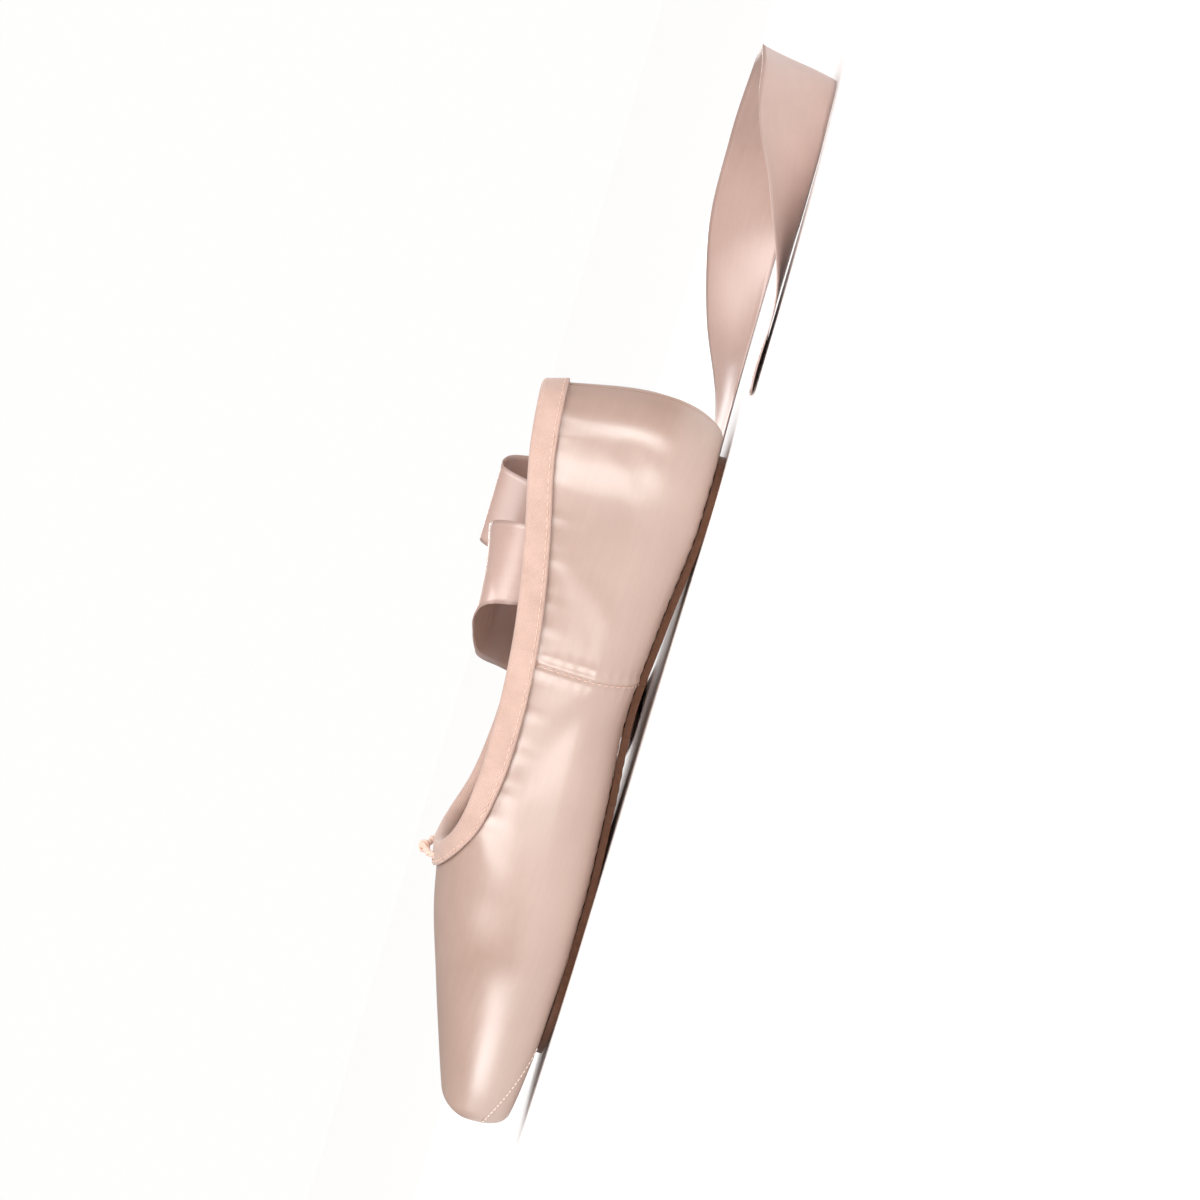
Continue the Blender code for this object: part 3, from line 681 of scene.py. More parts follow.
# %% A piece on the shoe
def dress(made, slot, *nodes):
    """Puts a piece on the shoe's body and hides the solids that it stands for. The slot is not used.
    """
    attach(made, "root")
    if nodes:
        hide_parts(*nodes)
    print(made.name, "quads:", len(made.data.polygons))
    return made


# %% [markdown]
# ## Ribs over the last
# The satin is one grid of ribs. They fan out round heel and toe and stand square between, from the
# opening underneath up to the collar. A subdivided cage would be quicker to draw, but its edges
# would miss the collar and the seams. Each rib here starts and ends exactly on them, and extra ribs
# crowd round the seams, where the relief is fine.


# %% Where the ribs stand
RIBS_PER_SIDE = 190
SEAM_RIBS = 7
SEAM_REACH = 0.003
POINTS_PER_RIB = 96


def rib_planes(count, crowds):
    """Where the ribs stand: for each, a point on the middle line and the way it faces outward."""
    walk = np.linspace(0, math.pi, 2000)
    x = HEEL_X + LENGTH * (1 - np.cos(walk)) / 2
    y = np.maximum(form_half_width(x, widest_at(x)), 0)
    x, y = np.append(x, TOE_X), np.append(y, 0)
    run = np.concatenate([[0], np.cumsum(np.hypot(np.diff(x), np.diff(y)))])
    at = np.linspace(0, run[-1], count + 1)
    seam = np.interp(SIDE_SEAM_X, x[:-1], run[:-1])
    for middle in (0.0, seam):
        at = at[np.abs(at - middle) > SEAM_REACH]
        at = np.append(at, middle + np.linspace(-SEAM_REACH, SEAM_REACH, 2 * crowds + 1))
    at = np.sort(at[at >= 0])
    aim = np.stack([np.interp(at, run, x), np.interp(at, run, y)], axis=1)
    heel_hub, toe_hub = HEEL_X + HEEL_ROUND, THROAT_X - VAMP_LENGTH * 0.15
    hub = np.stack([np.clip(aim[:, 0], heel_hub, toe_hub), np.zeros(len(aim))], axis=1)
    reach = np.linalg.norm(aim - hub, axis=1)
    return hub, (aim - hub) / reach[:, None], reach


# %% Where a ray leaves the form
def rib_surface(hub, facing, reach, angle):
    """The points where rays from inside the form leave it, at angles up from level in each rib."""
    heart_out = 0.45 * reach
    heart_up = (UNDERSIDE + widest_at(hub[:, 0] + facing[:, 0] * reach)) * 0.8
    inner, outer = np.zeros_like(angle), np.full_like(angle, LENGTH)
    for _ in range(30):
        middle = (inner + outer) / 2
        out = heart_out[:, None] + middle * np.cos(angle)
        x = hub[:, :1] + facing[:, :1] * out
        y = hub[:, 1:] + facing[:, 1:] * out
        z = heart_up[:, None] + middle * np.sin(angle)
        inside = np.abs(y) < form_half_width(x, z)
        inner, outer = np.where(inside, middle, inner), np.where(inside, outer, middle)
    return np.stack([x, y, z], axis=-1)


# %% Where a rib ends
def cut_away(points, upward):
    """Whether points of the form lie in the collar's opening, or in the opening underneath."""
    x, y, z = np.moveaxis(points, -1, 0)
    if upward:
        return (x < THROAT_X) & (z > collar_at(x))
    return (z < widest_at(x)) & (np.abs(y) < sole_half_width(x, LASTING_MARGIN))


def rib_end(planes, upward):
    """The angle in each rib at which the form meets the collar, or the opening underneath."""
    sign = 1 if upward else -1
    sweep = sign * np.linspace(0, math.radians(175), 500)
    angle = np.tile(sweep, (len(planes[0]), 1))
    first = np.argmax(cut_away(rib_surface(*planes, angle), upward), axis=1)
    kept, lost = sweep[first - 1], sweep[first]
    for _ in range(20):
        middle = (kept + lost) / 2
        cut = cut_away(rib_surface(*planes, middle[:, None])[:, 0], upward)
        kept, lost = np.where(cut, kept, middle), np.where(cut, middle, lost)
    return kept


# %% Points along each rib
def spread_points(ribs, count):
    """Each rib again with that many points, closer together where it turns."""
    rows = []
    for rib in ribs:
        step = np.diff(rib, axis=0)
        long = np.linalg.norm(step, axis=1)
        way = step / long[:, None]
        turn = np.arccos(np.clip((way[1:] * way[:-1]).sum(axis=1), -1, 1))
        run = np.concatenate([[0], np.cumsum(long)]) / long.sum()
        bend = np.concatenate([[0, 0], np.cumsum(turn)]) / turn.sum()
        at = np.linspace(0, 1, count)
        rows.append([np.interp(at, (run + 0.5 * bend) / 1.5, rib[:, k]) for k in range(3)])
    return np.moveaxis(np.array(rows), 1, 2)


def both_sides(half):
    """A closed ring of ribs from the left half, heel to toe and back along the right."""
    return np.concatenate([half, half[-2:0:-1] * (1, -1, 1)])


def ring_normals(grid):
    """The outward direction at each point of a closed ring of ribs."""
    round_it = np.roll(grid, -1, 0) - np.roll(grid, 1, 0)
    return unit(np.cross(np.gradient(grid, axis=1), round_it))


# %% The ribs of the shell
def wall_at(x):
    """The wall's thickness: stiff box in front, soft quarters behind."""
    share = np.clip((x - station_x(0.75)) / (station_x(1.2) - station_x(0.75)), 0, 1)
    return QUARTER_WALL + (BOX_WALL - QUARTER_WALL) * share**2 * (3 - 2 * share)


planes = rib_planes(RIBS_PER_SIDE, SEAM_RIBS)
low, high = rib_end(planes, False), rib_end(planes, True)
fine_ribs = rib_surface(*planes, low[:, None] + (high - low)[:, None] * np.linspace(0, 1, 500))
shell = both_sides(spread_points(fine_ribs, POINTS_PER_RIB))
print("ribs round the shoe:", len(shell))

# %% [markdown]
# ## Relief of the satin
# Cloth over a paste box is never glass-smooth. Shallow waves, the gathers that the drawstring pulls
# under the binding, puckers along the sole and a low ridge at each side seam stand out from it.
# They could be simulated, but lasted cloth has been pulled flat and only these small forms remain.
# So they are added along the surface's own normals, each from its own few numbers in metres. The
# main creases are listed, one row of a table for each.


# %% Waves, gathers and seams
Wave = namedtuple("Wave", "long height offset")
GATHERS = (Wave(0.0067, 0.00009, 0.4), Wave(0.0043, 0.00006, 2.0), Wave(0.0121, 0.00008, 1.1))
GATHER_REACH = 0.0055
PULLS = (Wave(0.0052, 0.00010, 0.7), Wave(0.0034, 0.00006, 1.9))
PULL_REACH = 0.0045
BROAD_WAVES = (Wave(0.047, 0.00016, 0.3), Wave(0.029, 0.00009, 2.2))
BROAD_SLANT, BROAD_RISE, BROAD_OFFSET, SIDE_SHIFT = 0.4, 0.061, 1.25, 0.45
SEAM_RIDGE, SEAM_HALF_WIDTH = 0.00042, 0.0009
SEAM_DIP, SEAM_DIP_OFF, SEAM_DIP_WIDTH = 0.00016, 0.0026, 0.0012
PUCKER = Wave(0.0037, 0.00009, 0.0)
PUCKER_OFF, PUCKER_WIDTH = 0.0020, 0.0030
BACK_GROOVE, BACK_GROOVE_WIDTH = 0.00030, 0.0008
BACK_LIP, BACK_LIP_OFF, BACK_LIP_WIDTH = 0.00014, 0.0017, 0.0009


def bell(distance, width):
    """1 in the middle of a soft ridge, falling away over its width."""
    return np.exp(-((distance / width) ** 2))


def waves(at, rows):
    """A sum of sine waves along one measure."""
    return sum(row.height * np.sin(2 * math.pi * at / row.long + row.offset) for row in rows)


# %% The main creases, one row each
Crease = namedtuple("Crease", "side x0 z0 x1 z1 width depth")
CREASES = (
    Crease(1, -0.030, 0.012, -0.062, 0.030, 0.0050, 0.00040),
    Crease(1, -0.036, 0.023, -0.070, 0.041, 0.0045, 0.00028),
    Crease(1, -0.028, 0.016, 0.004, 0.030, 0.0055, 0.00034),
    Crease(1, 0.006, 0.036, 0.028, 0.030, 0.0040, 0.00022),
    Crease(-1, -0.031, 0.013, -0.058, 0.034, 0.0050, 0.00042),
    Crease(-1, -0.027, 0.018, 0.008, 0.027, 0.0055, 0.00032),
    Crease(-1, -0.040, 0.026, -0.078, 0.038, 0.0045, 0.00026),
    Crease(1, -0.086, 0.016, -0.104, 0.030, 0.0050, 0.00024),
    Crease(-1, -0.084, 0.018, -0.103, 0.034, 0.0050, 0.00026),
)


def crease_relief(grid):
    """Shallow drag lines, each a trough with a low ridge above it, on one side of the shoe."""
    x, y, z = np.moveaxis(grid, -1, 0)
    total = np.zeros_like(x)
    for row in CREASES:
        long = math.hypot(row.x1 - row.x0, row.z1 - row.z0)
        way_x, way_z = (row.x1 - row.x0) / long, (row.z1 - row.z0) / long
        along = (x - row.x0) * way_x + (z - row.z0) * way_z
        off = (z - row.z0) * way_x - (x - row.x0) * way_z
        off = off - 0.06 * np.sin(math.pi * np.clip(along / long, 0, 1)) * long
        off = off * (1 if way_x > 0 else -1)
        fade = bell(np.maximum(np.abs(along - long / 2) - long * 0.3, 0), long * 0.25)
        fade = fade * (np.sign(y) == row.side)
        profile = 0.6 * bell(off - row.width, row.width) - bell(off, row.width * 0.8)
        total += fade * row.depth * profile
    return total


print("creases placed by hand:", len(CREASES))


# %% Gathers at the edges
def edge_waves(grid, run, from_collar):
    """The gathers under the binding, and the cloth's pull over the edge underneath."""
    x, round_it = grid[..., 0], run_lengths(grid, 0)
    behind_throat = np.clip((THROAT_X - 0.004 - x) / 0.02, 0, 1)
    gathers = waves(round_it[:, -1:], GATHERS)
    gathers = gathers * bell(np.maximum(from_collar - BINDING_WIDTH * 0.8, 0), GATHER_REACH)
    pulled = waves(round_it[:, 8:9], PULLS)
    return gathers * behind_throat + pulled * bell(np.maximum(run - LASTING_MARGIN, 0), PULL_REACH)


# %% Ridges and grooves of the seams
def seam_relief(grid, run):
    """The side seams' ridge with its puckers, and the groove and lips of the back seam."""
    x, y, _ = np.moveaxis(grid, -1, 0)
    off = np.abs(x - SIDE_SEAM_X)
    ridge = SEAM_RIDGE * bell(off, SEAM_HALF_WIDTH)
    ridge = ridge - SEAM_DIP * bell(off - SEAM_DIP_OFF, SEAM_DIP_WIDTH)
    ridge = ridge + waves(run, [PUCKER]) * bell(off - PUCKER_OFF, PUCKER_WIDTH)
    groove = BACK_LIP * bell(np.abs(y) - BACK_LIP_OFF, BACK_LIP_WIDTH)
    groove = groove - BACK_GROOVE * bell(y, BACK_GROOVE_WIDTH)
    return ridge, groove * (x < HEEL_X + HEEL_ROUND)


# %% All of the relief together
def satin_relief(grid):
    """How far the satin stands out from the last, in metres."""
    x, y, z = np.moveaxis(grid, -1, 0)
    run = run_lengths(grid, 1)
    from_collar = run[:, -1:] - run
    broad = waves(x + BROAD_SLANT * z, BROAD_WAVES)
    level = 2 * math.pi * z / BROAD_RISE + BROAD_OFFSET - SIDE_SHIFT * np.tanh(y / 0.02)
    broad = broad * np.sin(level)
    shown_low = np.clip((run - LASTING_MARGIN * 1.1) / 0.003, 0, 1)
    shown_high = np.clip((from_collar - BINDING_WIDTH * 1.05) / 0.0015, 0, 1)
    side_seams, back_seam = seam_relief(grid, run)
    both = (side_seams + crease_relief(grid)) * shown_low
    return edge_waves(grid, run, from_collar) + broad * shown_low + (both + back_seam) * shown_high


# %% [markdown]
# Satin's sheen depends on the way that its threads run, here from heel to toe. A UV map could be
# unwrapped by Blender, but it would turn the threads wherever the ribs fan out over the toe. So the
# cloth is laid flat again from its place along the shoe and its way round the section. The outside
# is satin, and the inside of the same wall is the cotton lining.

# %% The way the threads run
def laid_flat(half, out):
    """Where each point of the cloth lay when it was flat: across its threads, and along them."""
    x, y, z = np.moveaxis(half, -1, 0)
    middle = half.shape[1] // 2
    square = int(np.argmin(np.abs(half[:, middle, 0] - (THROAT_X - 0.018))))
    along = np.tile(run_lengths(half, 0)[:, middle:middle + 1], (1, half.shape[1]))
    across = run_lengths(half, 1)
    past = np.clip((x - TOE_X + PLATFORM_EDGE) / PLATFORM_EDGE, 0, 1)
    bottom = UNDERSIDE + rise_at(x) + PLATFORM_EDGE * (1 - np.sqrt(1 - past**2))
    heights = bottom[..., None] + (z - bottom)[..., None] * np.linspace(0, 1, 120)
    widths = np.maximum(form_half_width(x[..., None], heights), 0)
    arc = np.hypot(np.diff(heights), np.diff(widths)).sum(axis=-1)
    under = np.maximum(feather_at(x) - np.abs(y), 0) * (z < bottom + 0.0003)
    # In front of the last square rib the ribs fan out, so the section itself is measured.
    front = np.arange(len(half))[:, None] > square
    across = np.where(front, LASTING_MARGIN + arc - under, across)
    along = np.where(front, along[square, 0] + x - half[square, middle, 0], along)
    # On the platform the cloth turns downward over the edge.
    end = np.clip((out[..., 0] - 0.6) / 0.35, 0, 1)
    across = across + end * (np.abs(y) - across)
    along = along - end * (z - PLATFORM_MIDDLE)
    return np.stack([across, along], axis=-1)


# %% The satin upper and its lining
shell_out = ring_normals(shell)
half_count = len(shell) // 2 + 1
cloth_half = laid_flat(shell[:half_count], shell_out[:half_count])
shell_cloth = np.concatenate([cloth_half, cloth_half[-2:0:-1]])
relief = satin_relief(shell)
print("relief from %.2f to %.2f mm" % (relief.min() * 1000, relief.max() * 1000))
satin_face = shell + shell_out * relief[..., None]
lining_face = shell - shell_out * wall_at(shell[..., 0])[..., None]
upper = wall_piece("satin_upper", satin_face, lining_face, [satin, canvas], shell_cloth)
dress(upper, "satin", "upper")

# %% [markdown]
# ## The binding
# A woven tape is folded over the collar's edge and sewn down. The drawstring inside it plumps up
# the fold, and the gathers make the tape's face uneven. It could be a curve with a bevelled
# profile, but a curve twists where the collar turns. A strip that is laid over the shell's own ribs
# keeps its distance from the satin all the way round.


# %% A strip folded over the collar
def collar_strip(grid, normals, outside, inside, gap, turns, plump=0.0):
    """Points of a strip folded over the collar's edge, that far off the wall."""
    strip = []
    for rib, normal in zip(grid, normals):
        run = np.concatenate([[0], np.cumsum(np.linalg.norm(np.diff(rib[::-1], axis=0), axis=1))])

        def at(values, distances):
            return np.stack([np.interp(distances, run, values[::-1, k]) for k in range(3)], axis=1)

        edge, out = rib[-1], normal[-1]
        onward = unit(rib[-1] - rib[-3])
        wall = wall_at(edge[0])
        turn = np.radians(turns)[:, None]
        radius = wall / 2 + gap + plump * np.sin(turn) ** 0.5
        outer = at(rib, outside) + at(normal, outside) * gap
        over = edge - out * wall / 2 + radius * (out * np.cos(turn) + onward * np.sin(turn))
        inner = at(rib, inside) - at(normal, inside) * (wall + gap)
        strip.append(np.concatenate([outer, over, inner]))
    return np.array(strip)


TAPE_WAVES = (Wave(0.0071, 0.00009, 0.3), Wave(0.0046, 0.00006, 1.2), Wave(0.0103, 0.00008, 2.0))
outside = np.linspace(BINDING_WIDTH, BINDING_WIDTH * 0.1, 9)
inside = np.linspace(BINDING_INSIDE * 0.15, BINDING_INSIDE, 5)
turns = np.linspace(0, 180, 11)
tape_face = collar_strip(
    shell, shell_out, outside, inside, BINDING_GAP + BINDING_THICKNESS, turns, 0.0004)
tape_back = collar_strip(shell, shell_out, outside, inside, BINDING_GAP, turns, 0.0002)
tape_run = run_lengths(tape_face, 0)[:, 4:5]
ruffle = waves(tape_run, TAPE_WAVES)
share = np.clip(1 - np.arange(tape_face.shape[1]) / 12, 0, 1)
tape_out = unit(tape_face - tape_back)
tape_face = tape_face + tape_out * (ruffle * share)[..., None]
binding = wall_piece("binding_tape", tape_face, tape_back, [tape])
dress(binding, "binding_tape", "binding")

# %% [markdown]
# ## The outsole
# One piece of suede leather with its nap outward, its edge burnished dark, a line of stitches in a
# channel near the edge and a pressed lattice of overlapping circles under the ball. The lattice
# could be cut into the mesh, but it is only a few tenths of a millimetre deep. The material works
# out the distance to the nearest circle instead, and darkens and sinks the leather there.

# %% Leather
LATTICE_RADIUS = 0.0088
LATTICE_START = TOE_X - 0.092
LATTICE_SHIFT = 0.0044
SOLE_CHANNEL = 0.0036
TAN, TAN_LIGHT = (0.50, 0.235, 0.115, 1), (0.62, 0.32, 0.175, 1)
TAN_RAISED, TAN_HOLLOW = (0.76, 0.47, 0.30, 1), (0.30, 0.125, 0.055, 1)
BURNT = (0.095, 0.033, 0.016, 1)

suede, tree, shader = new_material("sole_leather", 0.85, Specular_IOR_Level=0.2, Sheen_Weight=0.2)
place_in = node(tree, "ShaderNodeTexCoord").outputs["Object"]
parts = node(tree, "ShaderNodeSeparateXYZ", {0: place_in}).outputs
edge = node(tree, "ShaderNodeAttribute", attribute_name="from_edge").outputs["Fac"]
facing = node(tree, "ShaderNodeSeparateXYZ", {
    0: node(tree, "ShaderNodeNewGeometry").outputs["Normal"]}).outputs[2]


# %% Circles in the leather
def off_centre(tree, value, shift):
    """How far a value lies from the nearest centre of a row of circles."""
    pitch = 2 * LATTICE_RADIUS
    moved = maths(tree, "ADD", value, shift + 50 * pitch)
    return maths(tree, "SUBTRACT", maths(tree, "MODULO", moved, pitch), LATTICE_RADIUS)


def reach(tree, first, second):
    """The length of a line with these two sides."""
    squares = [maths(tree, "MULTIPLY", side, side) for side in (first, second)]
    return maths(tree, "SQRT", maths(tree, "ADD", *squares))


def ring_distance(tree, x, y, shift):
    """How far a point lies from the nearest circle of one lattice of circles."""
    length = reach(tree, off_centre(tree, x, shift), off_centre(tree, y, shift))
    return maths(tree, "ABSOLUTE", maths(tree, "SUBTRACT", length, LATTICE_RADIUS))


from_star = maths(tree, "SUBTRACT", parts[0], LATTICE_START + LATTICE_RADIUS)
across = maths(tree, "SUBTRACT", parts[1], LATTICE_SHIFT)
nearest = maths(
    tree, "MINIMUM",
    ring_distance(tree, from_star, across, 0.0),
    ring_distance(tree, from_star, across, LATTICE_RADIUS),
)
from_row = reach(tree, maths(tree, "ADD", from_star, LATTICE_RADIUS), off_centre(tree, across, 0.0))
begun = maths(
    tree, "MAXIMUM",
    maths(tree, "GREATER_THAN", from_star, 0.0),
    maths(tree, "MULTIPLY",
          maths(tree, "GREATER_THAN", from_row, LATTICE_RADIUS - 0.0004),
          maths(tree, "GREATER_THAN", from_star, -LATTICE_RADIUS)),
)
pressed = maths(tree, "MULTIPLY", graded(tree, nearest, 0.0002, 0.00055, 1.0, 0.0), begun)
channel = graded(tree, maths(tree, "ABSOLUTE", maths(tree, "SUBTRACT", edge, SOLE_CHANNEL)),
                 0.0002, 0.0006, 1.0, 0.0)
grooves = maths(tree, "MAXIMUM", pressed, maths(tree, "MULTIPLY", channel, 0.3))
grooves = maths(tree, "MULTIPLY", grooves, graded(tree, facing, -0.9, -0.6, 1.0, 0.0))
grain = {"Vector": place_in}
nap = node(tree, "ShaderNodeTexNoise", {**grain, "Scale": 650.0, "Detail": 5.0}).outputs[0]
cloudy = node(tree, "ShaderNodeTexNoise", {**grain, "Scale": 45.0, "Detail": 3.0}).outputs[0]
hide = blend_colours(tree, graded(tree, cloudy, 0.35, 0.65), TAN, TAN_LIGHT)
hide = blend_colours(tree, graded(tree, nap, 0.5, 0.68, 0.0, 0.5), hide, TAN_RAISED)
hide = blend_colours(tree, graded(tree, nap, 0.48, 0.34, 0.0, 0.55), hide, TAN_HOLLOW)
burnt = maths(tree, "MAXIMUM", graded(tree, edge, 0.0008, 0.0019, 1.0, 0.0),
              graded(tree, maths(tree, "ABSOLUTE", facing), 0.5, 0.9, 0.82, 0.0))
dark = maths(tree, "MAXIMUM", grooves, maths(tree, "MULTIPLY", burnt, 0.9))
tree.links.new(blend_colours(tree, dark, hide, BURNT), shader.inputs["Base Color"])
tree.links.new(graded(tree, burnt, 0.0, 1.0, 0.88, 0.5), shader.inputs["Roughness"])
height = maths(tree, "SUBTRACT", maths(tree, "MULTIPLY", nap, 0.25), grooves)
bump = node(tree, "ShaderNodeBump", {"Height": height, "Distance": 0.0005, "Strength": 1.0})
tree.links.new(bump.outputs[0], shader.inputs["Normal"])
print("nodes in the leather:", len(tree.nodes))

# %% [markdown]
# The sole itself is a thin plate with the outline, the arch and the toe spring of the last. It
# could be cut from a solid with a Boolean. A grid from edge to edge is cleaner: Solidify gives it
# its thickness and Bevel its rounded edge, and each point knows how far it lies from the edge,
# which is what the material needs for its burnish and its channel.

# %% The sole's plate
def plate_grid(start, end, half_width, height, stations, columns):
    """A plate's face from one edge across to the other, along the shoe."""
    walk = np.linspace(0, math.pi, stations)
    x = start + (end - start) * (1 - np.cos(walk)) / 2
    half = np.maximum(half_width(x), 0)
    half[[0, -1]] = 0.0008
    share = np.cos(np.linspace(0, math.pi, columns))
    return np.stack([
        np.tile(x[:, None], columns), half[:, None] * share, np.tile(height(x)[:, None], columns),
    ], axis=-1)


def plate_piece(name, face, thickness, material, edge):
    """A plate below its top face, with rounded edges and each point's distance from the edge."""
    rows, columns = face.shape[:2]
    faces = grid_faces(rows, columns, False)
    made = mesh_piece(name, face.reshape(-1, 3), faces, grid_uv(face, False), [material])
    outline = np.concatenate([face[:, 0], face[::-1, -1]])[:, :2]
    flat = face.reshape(-1, 3)[:, :2]
    away = np.linalg.norm(flat[:, None] - outline[None], axis=-1).min(axis=1)
    made.data.attributes.new("from_edge", "FLOAT", "POINT").data.foreach_set("value", away)
    wall = made.modifiers.new("wall", "SOLIDIFY")
    wall.thickness = thickness
    wall.offset = -1
    wall.use_even_offset = True
    soft = made.modifiers.new("edge", "BEVEL")
    soft.width = edge
    soft.segments = 3
    soft.limit_method = "ANGLE"
    soft.angle_limit = math.radians(50)
    return made


sole_face = plate_grid(
    HEEL_X + SOLE_HEEL_GAP, TOE_X - SOLE_TOE_GAP, sole_half_width,
    lambda x: rise_at(x) + SOLE_THICKNESS, 150, 33)
outsole = plate_piece("outsole_leather", sole_face, SOLE_THICKNESS, suede, 0.0005)
dress(outsole, "sole_leather", "outsole")


# %% [markdown]
# ## The sock
# Inside, a cotton sock lies over the lasting margin from heel to box. It is another flat plate, so
# the sole's helper makes it too, from its own outline and height.

# %% Insole
insole_start = HEEL_X + HEEL_UNDERCUT + QUARTER_WALL + 2 * CLEARANCE
insole_end = TOE_X - INSOLE_TOE_GAP


def insole_half_width(x):
    """Half the width of the sock."""
    toe = rounded((insole_end - x) / feather_at(insole_end))
    return feather_at(x) * rounded((x - insole_start) / HEEL_ROUND, 2.1) * toe


def insole_height(x):
    """The height of the sock's upper face."""
    return UNDERSIDE + rise_at(x) + wall_at(x) + CLEARANCE + INSOLE_THICKNESS


sock_face = plate_grid(insole_start, insole_end, insole_half_width, insole_height, 120, 25)
insole = plate_piece("insole_sock", sock_face, INSOLE_THICKNESS, canvas, 0.0004)
dress(insole, "sock_lining", "insole")

# %% [markdown]
# ## Ribbons
# Each ribbon is sewn inside its quarter, comes out over the collar and lies down loosely. A cloth
# simulation could drop it there, but it would land where it likes. A ribbon can't bend in its own
# plane, so where its route turns on the floor it stands up on its edge. The route is a table of
# places with the bearing and the tilt of the ribbon's width, and a smooth line runs through them.

# %% Routes
LEFT_ROUTE = (
    (-0.0592, 0.0203, 0.0515, 2, -4),
    (-0.0560, 0.0145, 0.0582, 14, -10),
    (-0.0480, 0.0045, 0.0597, 26, -4),
    (-0.0390, -0.0075, 0.0577, 30, 0),
    (-0.0310, -0.0190, 0.0553, 30, 2),
    (-0.0262, -0.0290, 0.0535, 26, 6),
    (-0.0215, -0.0385, 0.0440, 12, 24),
    (-0.0170, -0.0425, 0.0300, 2, 28),
    (-0.0125, -0.0460, 0.0150, 6, 22),
    (-0.0070, -0.0540, 0.0045, 24, 8),
    (0.0020, -0.0710, 0.0008, 32, 2),
    (0.0150, -0.0930, 0.0014, 42, 5),
    (0.0330, -0.1110, 0.0052, 60, 24),
    (0.0560, -0.1200, 0.0112, 82, 62),
    (0.0800, -0.1200, 0.0125, 62, 76),
    (0.0970, -0.1340, 0.0126, 20, 80),
    (0.0970, -0.1560, 0.0125, -30, 76),
    (0.0790, -0.1720, 0.0108, -68, 58),
    (0.0520, -0.1770, 0.0052, -84, 24),
    (0.0220, -0.1765, 0.0014, -90, 5),
    (-0.0080, -0.1720, 0.0008, -98, 0),
    (-0.0370, -0.1650, 0.0020, -102, 3),
    (-0.0620, -0.1590, 0.0008, -102, 0),
)
RIGHT_ROUTE = (
    (-0.0615, -0.0215, 0.0565, 0, 0),
    (-0.0620, -0.0270, 0.0635, 0, 0),
    (-0.0630, -0.0370, 0.0625, -2, 0),
    (-0.0640, -0.0440, 0.0500, -4, 0),
    (-0.0655, -0.0470, 0.0330, -6, 0),
    (-0.0675, -0.0500, 0.0150, -10, 0),
    (-0.0720, -0.0580, 0.0040, -18, 2),
    (-0.0820, -0.0740, 0.0008, -32, 2),
    (-0.0990, -0.0910, 0.0022, -50, 10),
    (-0.1220, -0.1010, 0.0075, -74, 37),
    (-0.1500, -0.1030, 0.0117, -96, 68),
    (-0.1780, -0.0950, 0.0126, -118, 80),
    (-0.2010, -0.0760, 0.0126, -142, 82),
    (-0.2150, -0.0490, 0.0126, -164, 80),
    (-0.2180, -0.0190, 0.0124, -188, 76),
    (-0.2080, 0.0080, 0.0112, -214, 62),
    (-0.1880, 0.0280, 0.0064, -236, 30),
    (-0.1630, 0.0400, 0.0014, -250, 5),
    (-0.1360, 0.0480, 0.0008, -256, 0),
)
print("places on the two routes:", len(LEFT_ROUTE), len(RIGHT_ROUTE))


# %% A ribbon along its route
FLUTTER = (Wave(0.061, 0.0006, 0.4), Wave(0.037, 0.0003, 1.9))


def ribbon_start(side):
    """Where a ribbon is sewn inside its quarter: rows of place, bearing and tilt, going up."""
    x = HEEL_X + RIBBON_FROM_HEEL
    seat = QUARTER_WALL + BINDING_GAP + BINDING_THICKNESS + 2 * CLEARANCE + 0.0005
    top = float(collar_at(x))
    rows = []
    for below in (RIBBON_SEWN, RIBBON_SEWN * 0.55, RIBBON_SEWN * 0.12):
        y = float(form_half_width(np.array(x), np.array(top - below))) - seat
        rows.append((x, side * y, top - below, 0, 0))
    return rows


def ribbon_grid(rows, steps, columns):
    """The ribbon's face along a smooth line through its rows."""
    rows = np.array(rows, float)
    run = np.concatenate([[0], np.cumsum(np.linalg.norm(np.diff(rows[:, :3], axis=0), axis=1))])
    at = np.linspace(0, run[-1], steps)
    x, y, z, bearing, tilt = (smooth_curve(run, rows[:, k])(at) for k in range(5))
    middle = np.stack([x, y, z], axis=1)
    bearing, tilt = np.radians(bearing), np.radians(tilt)
    across = np.stack([
        np.cos(bearing) * np.cos(tilt), np.sin(bearing) * np.cos(tilt), np.sin(tilt)], axis=1)
    along = unit(np.gradient(middle, axis=0))
    across = unit(across - (across * along).sum(axis=1, keepdims=True) * along)
    up = np.cross(along, across)
    share = np.linspace(0.5, -0.5, columns)
    flutter = waves(at, FLUTTER)[:, None] * np.sin(share * 5)
    free = np.clip((at - 0.05) / 0.05, 0, 1)[:, None]
    grid = middle[:, None] + across[:, None] * (RIBBON_WIDTH * share)[:, None]
    grid = grid + up[:, None] * (flutter * free)[..., None]
    grid[..., 2] = np.maximum(grid[..., 2], 0.0004)
    return grid


# %% The two ribbons
def ribbon_piece(name, side, route, node_name):
    """One ribbon along its route, with a UV map of the flat strip that it was cut as and Solidify for
    its thickness.
    """
    grid = ribbon_grid((*ribbon_start(side), *route), 360, 15)
    made = mesh_piece(name, grid.reshape(-1, 3), grid_faces(*grid.shape[:2], False),
                      grid_uv(grid, False, turned=True), [ribbon_satin])
    wall = made.modifiers.new("wall", "SOLIDIFY")
    wall.thickness = RIBBON_THICKNESS
    wall.offset = 0
    dress(made, "ribbon_satin", node_name)


ribbon_piece("ribbon_left_satin", 1, LEFT_ROUTE, "ribbon_left")
ribbon_piece("ribbon_right_satin", -1, RIGHT_ROUTE, "ribbon_right")

